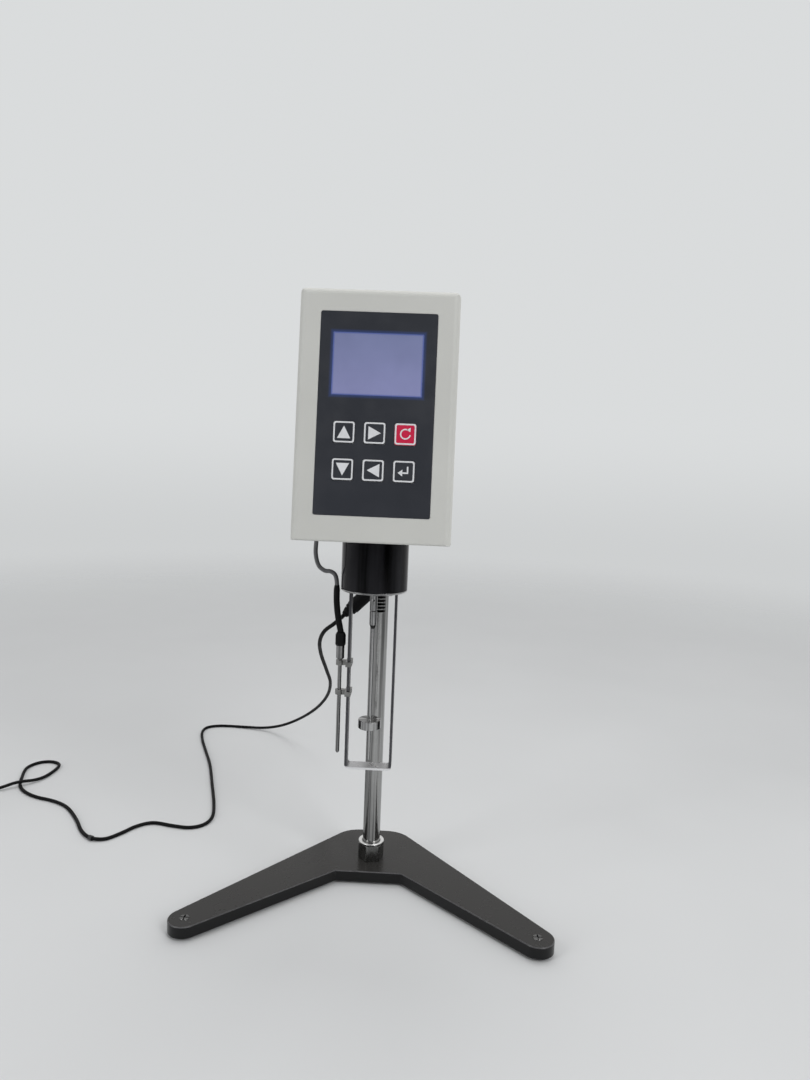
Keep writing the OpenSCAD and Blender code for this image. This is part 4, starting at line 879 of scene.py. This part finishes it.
@listed
class VISCOMETER_OT_panel(bpy.types.Operator):
    """Lays the dark film over the front"""
    bl_idname = "viscometer.panel"
    bl_label = "Panel"

    def execute(self, context):
        reach, strength = 2.6, 0.8

        def halo(nodes, base):
            """The faint blue that the lit display throws on the film round it."""
            spot = nodes.effect("Display place")
            inset = nodes.math("MINIMUM", spot["Side"], spot["End"])
            share = nodes.span(inset, -reach, 0.0, 0.0, strength, smooth=True)
            return nodes.mix(share, base, (0.036, 0.062, 0.19, 1))

        film = finish("Panel film", colours().film, 0.34, tone=0.06, tone_size=60.0, smudge=0.12,
                      grain=0.008, grain_size=0.16, edge=0.5, edge_shade=(0.14, 0.145, 0.16),
                      radius=0.12, paint=halo)
        dress(film, "membrane_panel")
        return {"FINISHED"}


@listed
class VISCOMETER_OT_keys(bpy.types.Operator):
    """Prints an outline and a sign on each of the six keys"""
    bl_idname = "viscometer.keys"
    bl_label = "Keys"

    def execute(self, context):
        face = context.scene.viscometer_face
        base, height = face.arrow_base / 2, face.arrow_height
        triangle = [(-base, -height / 2), (base, -height / 2), (0, height / 2)]
        signs = {
            "up": [[triangle]],
            "right": [[[(y, -x) for x, y in triangle]]],
            "down": [[[(-x, -y) for x, y in triangle]]],
            "left": [[[(-y, x) for x, y in triangle]]],
            "reset": self.turn_sign(),
            "enter": self.return_sign(),
        }
        ring = [
            rounded_square(face.key_side, face.key_corner),
            rounded_square(face.key_side - 2 * face.key_line, face.key_corner - 0.6 * face.key_line),
        ]
        to_face = face_place().inverted()
        for name, sign in signs.items():
            at = to_face @ centre(f"key_{name}")
            top = face_place() @ Matrix.Translation((at.x, at.y, face.key_stand - SUNK))
            mesh = plate_mesh([ring] + sign, face.ink, top)
            new_piece(f"print_{name}", mesh, f"button_{name}", pale_ink())
        film = finish("Key film", colours().film, 0.36, tone=0.06, smudge=0.14, grain=0.006,
                      grain_size=0.2, radius=0.2)
        dress(film, *(f"key_{name}" for name in signs if name != "reset"))
        red = finish("Red key film", colours().reset, 0.36, tone=0.05, smudge=0.12, grain=0.006,
                     grain_size=0.2, radius=0.2)
        dress(red, "key_reset")
        return {"FINISHED"}

    @staticmethod
    def turn_sign():
        """An open ring with an arrow head: start again."""
        outer, inner = 3.9 * MM, 2.9 * MM
        head = [(0.95, 3.23), (3.705, 4.75), (3.42, 1.52)]
        return [[arc(outer, 60, 350) + arc(inner, 350, 60)], [in_metres(head)]]

    @staticmethod
    def return_sign():
        """A line that comes down and runs back to an arrow head."""
        stem = [(3.2, 3.6), (3.2, -1.6), (-1.0, -1.6), (-1.0, -0.5), (2.1, -0.5), (2.1, 3.6)]
        head = [(-4.4, -1.05), (-1.0, 1.35), (-1.0, -3.45)]
        return [[in_metres(stem)], [in_metres(head)]]


@listed
class VISCOMETER_OT_display(bpy.types.Operator):
    """Tints the display and lights its edges"""
    bl_idname = "viscometer.display"
    bl_label = "Display"

    def execute(self, context):
        def glow(nodes, base):
            """Paler towards its lower end, and blue along its edges."""
            spot = nodes.effect("Display place")
            inset = nodes.math("SMOOTH_MIN", spot["Side"], spot["End"])
            high = nodes.span(spot["Rise"], -1.0, 1.0)
            shade = nodes.mix(high, (1.08, 1.08, 1.05, 1), (0.84, 0.90, 0.86, 1))
            tinted = nodes.mix(1.0, base, shade, "MULTIPLY")
            inner = nodes.span(inset, -0.2, 1.7, smooth=True)
            return nodes.mix(inner, (*colours().display_edge, 1), tinted)

        lens = finish("Display lens", colours().display, 0.12, tone=0.05, tone_size=26.0, smudge=0.14,
                      coat=0.5, radius=0.1, paint=glow)
        dress(lens, "display_window")
        rim = finish("Display frame", (0.05, 0.05, 0.052), 0.4, grain=0.01, radius=0.1)
        dress(rim, "display_module")
        return {"FINISHED"}


@listed
class VISCOMETER_OT_neck(bpy.types.Operator):
    """Enamels the neck and turns its bright ring, plate and bearings"""
    bl_idname = "viscometer.neck"
    bl_label = "Neck"

    def execute(self, context):
        # Painted reflections: bright bands round the neck's enamel.
        enamel = finish("Neck enamel", (0.0014, 0.0014, 0.0016), 0.08, tone=0.2, tone_size=40.0,
                        smudge=0.05, grain=0.003, grain_size=1.6, edge=0.3,
                        edge_shade=(0.06, 0.06, 0.06), radius=0.3, gloss=0.1,
                        paint=reflection_banded(axis_of("neck"), 2.3, 0.1, 12.0))
        dress(enamel, "neck")
        dress(ground_steel(), "neck_ring")
        dress(sheet_steel(), "neck_plate")
        dress(plated_steel(), "neck_bearings", "guard_screws")
        return {"FINISHED"}


@listed
class VISCOMETER_OT_spindle(bpy.types.Operator):
    """Grinds the spindle, its guard and the probe"""
    bl_idname = "viscometer.spindle"
    bl_label = "Spindle and guard"

    def execute(self, context):
        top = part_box("spindle")[1].z / MM
        low, high = top - 14.5, top - 11.4
        # Painted reflections: light and dark bands round the spindle.
        bands = reflection_banded(axis_of("spindle"), 2.6, 0.3, 1.25)

        def shaded_shoulder(nodes, base):
            """Painted shade: a dark band at the turned shoulder at the lower end of the coupling."""
            height = nodes.height()
            above = nodes.span(height, low - 0.3, low + 0.2)
            below = nodes.span(height, high - 0.5, high + 0.5, 1.0, 0.0)
            share = nodes.times(above, below)
            return nodes.mix(share, bands(nodes, base), grey(0.03))

        shaft = metal("Polished spindle", colours().stainless, 0.15, tone=0.06, tone_size=9.0,
                      hairline=0.0006, stretch=(0.05, 0.05, 1.0), line_size=0.4, radius=0.15,
                      paint=shaded_shoulder)
        dress(shaft, "spindle", "pivot_shaft")
        # Painted reflections: light and dark bands round the probe rod.
        rod = metal("Probe rod", (0.22, 0.22, 0.22), 0.2, tone=0.08, tone_size=9.0, hairline=0.0008,
                    stretch=(0.05, 0.05, 1.0), radius=0.1,
                    paint=reflection_banded(axis_of("probe_rod"), 1.7, 0.35, 1.5))
        dress(rod, "probe_rod")
        bar_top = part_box("guard")[0].z / MM + 1.6

        def lit(nodes, base):
            """Painted highlight: the lower bar, brighter than the two upright strips."""
            share = nodes.span(nodes.height(), bar_top + 1, bar_top)
            return nodes.mix(share, base, (*colours().strip_highlight, 1))

        strip = metal("Guard strip", colours().strip, 0.26, tone=0.12, tone_size=14.0, smudge=0.1,
                      hairline=0.001, stretch=(1.0, 1.0, 0.03), edge=0.25, edge_shade=(0.3, 0.3, 0.3),
                      radius=0.2, paint=lit)
        dress(strip, "guard")
        clips = metal("Clip steel", (0.24, 0.24, 0.235), 0.28, tone=0.2, tone_size=5.0, smudge=0.1,
                      edge=0.35, edge_shade=(0.5, 0.5, 0.49), radius=0.2)
        dress(clips, "probe_clips")
        return {"FINISHED"}


@listed
class VISCOMETER_OT_level(bpy.types.Operator):
    """Fills the round level and prints its ring"""
    bl_idname = "viscometer.level"
    bl_label = "Round level"

    def execute(self, context):
        dress(plated_steel(), "level_case")
        liquid = finish("Level liquid", colours().liquid, 0.06, tone=0.12, tone_size=5.0, smudge=0.05,
                        grain=0.002, grain_size=2.0, coat=1.0, radius=0.1)
        dress(liquid, "level_vial")
        top = on_top("level_vial", 2 * SUNK)
        outer, inner = 3.4 * MM, 3.0 * MM
        ring = plate_mesh([[circle(outer, 48), circle(inner, 48)]], INK, top)
        black = finish("Black ink", (0.012, 0.012, 0.012), 0.4, grain=0.004, radius=0.02)
        new_piece("level_ring", ring, "head", black)
        # The bubble rests a little off the middle, just under the vial's top.
        middle = top @ Matrix.Translation((0.6 * MM, 0.4 * MM, -1.45 * MM))
        profile = [(0, 0), (1.6, 0.1), (2.3, 0.5), (2.45, 0.9), (2.2, 1.3), (1.4, 1.55), (0, 1.6)]
        bubble = lathe_mesh(in_metres(profile), middle, 32)
        pale = finish("Bubble", (0.72, 0.84, 0.42), 0.05, tone=0.06, tone_size=3.0, radius=0.05)
        new_piece("level_bubble", bubble, "head", pale)
        return {"FINISHED"}


@listed
class VISCOMETER_OT_switch(bpy.types.Operator):
    """Finishes the power switch and marks its two ends"""
    bl_idname = "viscometer.switch"
    bl_label = "Power switch"

    def execute(self, context):
        dress(black_plastic(), "switch_case", "switch_rocker")
        dress(plated_steel(), "power_socket")
        turn = next(j for j in frame["record"]["behaviour"]["joints"] if j["name"] == "rocker_tilt")
        pivot = Vector(turn["pos_m"])
        # Each half of the rocker leans back from its middle; half is the length of one.
        lean, half = radians(9), 6.25 * MM
        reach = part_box("switch_rocker")[1].y - pivot.y - half * sin(lean)
        crown = reach / cos(lean) - half * tan(lean)
        upright = Matrix(((-1, 0, 0), (0, 0, 1), (0, 1, 0))).to_4x4()
        rocker = Matrix.Translation(pivot) @ Matrix.Rotation(-lean, 4, "X")
        bar = in_metres([(-0.35, -1.4), (0.35, -1.4), (0.35, 1.4), (-0.35, 1.4)])
        ring = [circle(1.5 * MM, 24), circle(0.9 * MM, 24)]
        for name, side, sign in (("mark_on", -1, [bar]), ("mark_off", 1, ring)):
            spot = Matrix.Translation((0, crown + half / 2 * tan(lean), side * half / 2))
            place = rocker @ spot @ Matrix.Rotation(-side * lean, 4, "X") @ upright
            place @= Matrix.Translation((0, 0, -SUNK))
            new_piece(name, plate_mesh([sign], INK, place), "rocker", pale_ink())
        return {"FINISHED"}


@listed
class VISCOMETER_OT_works(bpy.types.Operator):
    """Finishes what is inside the head: chassis, motor, discs, spring and boards"""
    bl_idname = "viscometer.works"
    bl_label = "Works"

    def execute(self, context):
        dress(sheet_steel(), "chassis")
        case = metal("Motor case", (0.42, 0.42, 0.43), 0.3, tone=0.12, smudge=0.12, hairline=0.01,
                     stretch=(0.03, 0.03, 1.0), radius=0.2)
        dress(case, "motor")
        dress(ground_steel(), "motor_shaft")
        dress(bronze(), "hairspring")
        disc = finish("Disc plastic", (0.03, 0.03, 0.032), 0.35, grain=0.01, radius=0.1)
        dress(disc, "drive_disc", "torque_disc")
        dress(board_green(), "keypad_board", "main_board", "sensor_board")
        return {"FINISHED"}


@listed
class VISCOMETER_OT_stage(bpy.types.Operator):
    """Lays the pale floor and hangs the soft lights"""
    bl_idname = "viscometer.stage"
    bl_label = "Floor and lights"

    def execute(self, context):
        settings = context.scene.viscometer_stage
        self.floor(settings)
        self.world(context, settings)
        middle = Vector((0, 0, 0.3))
        self.lamp("Key lamp", (1.3, -1.5, 1.5), middle, 0.9, 1.5, settings.key_light)
        self.lamp("Fill lamp", (-1.6, -1.2, 1.0), middle, 0.7, 1.8, settings.fill_light)
        self.lamp("Top lamp", (0.1, 0.5, 2.4), middle, 1.6, 1.2, settings.fill_light)
        return {"FINISHED"}

    @staticmethod
    def lamp(name, place, target, wide, tall, watts):
        lamp = bpy.data.lights.new(name, "AREA")
        lamp.shape, lamp.size, lamp.size_y, lamp.energy = "RECTANGLE", wide, tall, watts
        holder = new_object(name, lamp)
        away = Vector(place) - target
        turned = away.to_track_quat("Z", "Y").to_matrix().to_4x4()
        holder.matrix_world = Matrix.Translation(place) @ turned

    @staticmethod
    def floor(settings):
        """A wide disc whose rim fades into the background."""
        rings, reach = 24, 9.0
        fades_from, fades_to = 0.75, 2.3
        mesh = lathe_mesh([(reach * (i / rings) ** 2, 0) for i in range(rings + 1)], Matrix(), 96)
        new_object("floor", mesh)
        material, nodes, shader = new_material("Floor")
        tone = nodes.effect("Handling", size=240.0)["Tone"]
        pale = (*settings.floor, 1)
        dull = (*(c * 0.97 for c in settings.floor), 1)
        nodes.fill(shader, {
            "Base Color": nodes.mix(tone, pale, dull), "Roughness": 0.8, "Specular IOR Level": 0.1,
        })
        place = nodes.add("ShaderNodeTexCoord").outputs["Object"]
        fade = nodes.span(nodes.reach(place), fades_from, fades_to, smooth=True)
        clear = nodes.add("ShaderNodeBsdfTransparent").outputs[0]
        both = nodes.add("ShaderNodeMixShader", {0: fade, 1: shader.outputs[0], 2: clear})
        nodes.fill(nodes.tree.nodes["Material Output"], {"Surface": both.outputs[0]})
        mesh.materials.append(material)

    @staticmethod
    def world(context, settings):
        """Even light, dimmer in front of the instrument, and a pale background."""
        world = bpy.data.worlds.new("Studio")
        world.use_nodes = True
        context.scene.world = world
        nodes = Nodes(world.node_tree)
        nodes.tree.nodes.clear()
        direction = nodes.add("ShaderNodeTexCoord").outputs["Generated"]
        behind = nodes.span(nodes.part(direction, "Y"), -0.85, 0.35, smooth=True)
        shade = nodes.mix(behind, (0.10, 0.10, 0.11, 1), grey(1.0))
        soft = nodes.add("ShaderNodeBackground", {"Color": shade, "Strength": settings.sky})
        rising = nodes.span(nodes.part(direction, "Z"), -0.13, 0.03, smooth=True)
        wall = nodes.mix(rising, (*(c * 0.88 for c in settings.wall), 1), (*settings.wall, 1))
        seen = nodes.add("ShaderNodeBackground", {"Color": wall, "Strength": 1.0})
        camera = nodes.add("ShaderNodeLightPath").outputs["Is Camera Ray"]
        both = nodes.add("ShaderNodeMixShader", {0: camera, 1: soft.outputs[0], 2: seen.outputs[0]})
        nodes.add("ShaderNodeOutputWorld", {"Surface": both.outputs[0]})


class VISCOMETER_PT_panel(bpy.types.Panel):
    """Lists the instrument's pieces and their settings"""
    bl_label = "Rotational viscometer"
    bl_idname = "VISCOMETER_PT_panel"
    bl_space_type = "VIEW_3D"
    bl_region_type = "UI"
    bl_category = "Viscometer"

    def draw(self, context):
        for group, kind in SETTINGS.items():
            box = self.layout.box()
            for name in kind.__annotations__:
                box.prop(getattr(context.scene, group), name)
        for maker in OPERATORS:
            self.layout.operator(maker.bl_idname)


SETTINGS = {
    "viscometer_face": ViscometerFaceSettings,
    "viscometer_colours": ViscometerColours,
    "viscometer_leads": ViscometerLeadSettings,
    "viscometer_stage": ViscometerStageSettings,
}
CLASSES = (*SETTINGS.values(), *OPERATORS, VISCOMETER_PT_panel)


def register():
    for kind in CLASSES:
        bpy.utils.register_class(kind)
    for name, kind in SETTINGS.items():
        setattr(bpy.types.Scene, name, PointerProperty(type=kind))


def unregister():
    for name in SETTINGS:
        delattr(bpy.types.Scene, name)
    for kind in reversed(CLASSES):
        bpy.utils.unregister_class(kind)


def main():
    register()
    bpy.context.scene.view_settings.view_transform = "Standard"
    for maker in OPERATORS:
        group, name = maker.bl_idname.split(".")
        getattr(getattr(bpy.ops, group), name)()


if __name__ == "__main__":
    main()
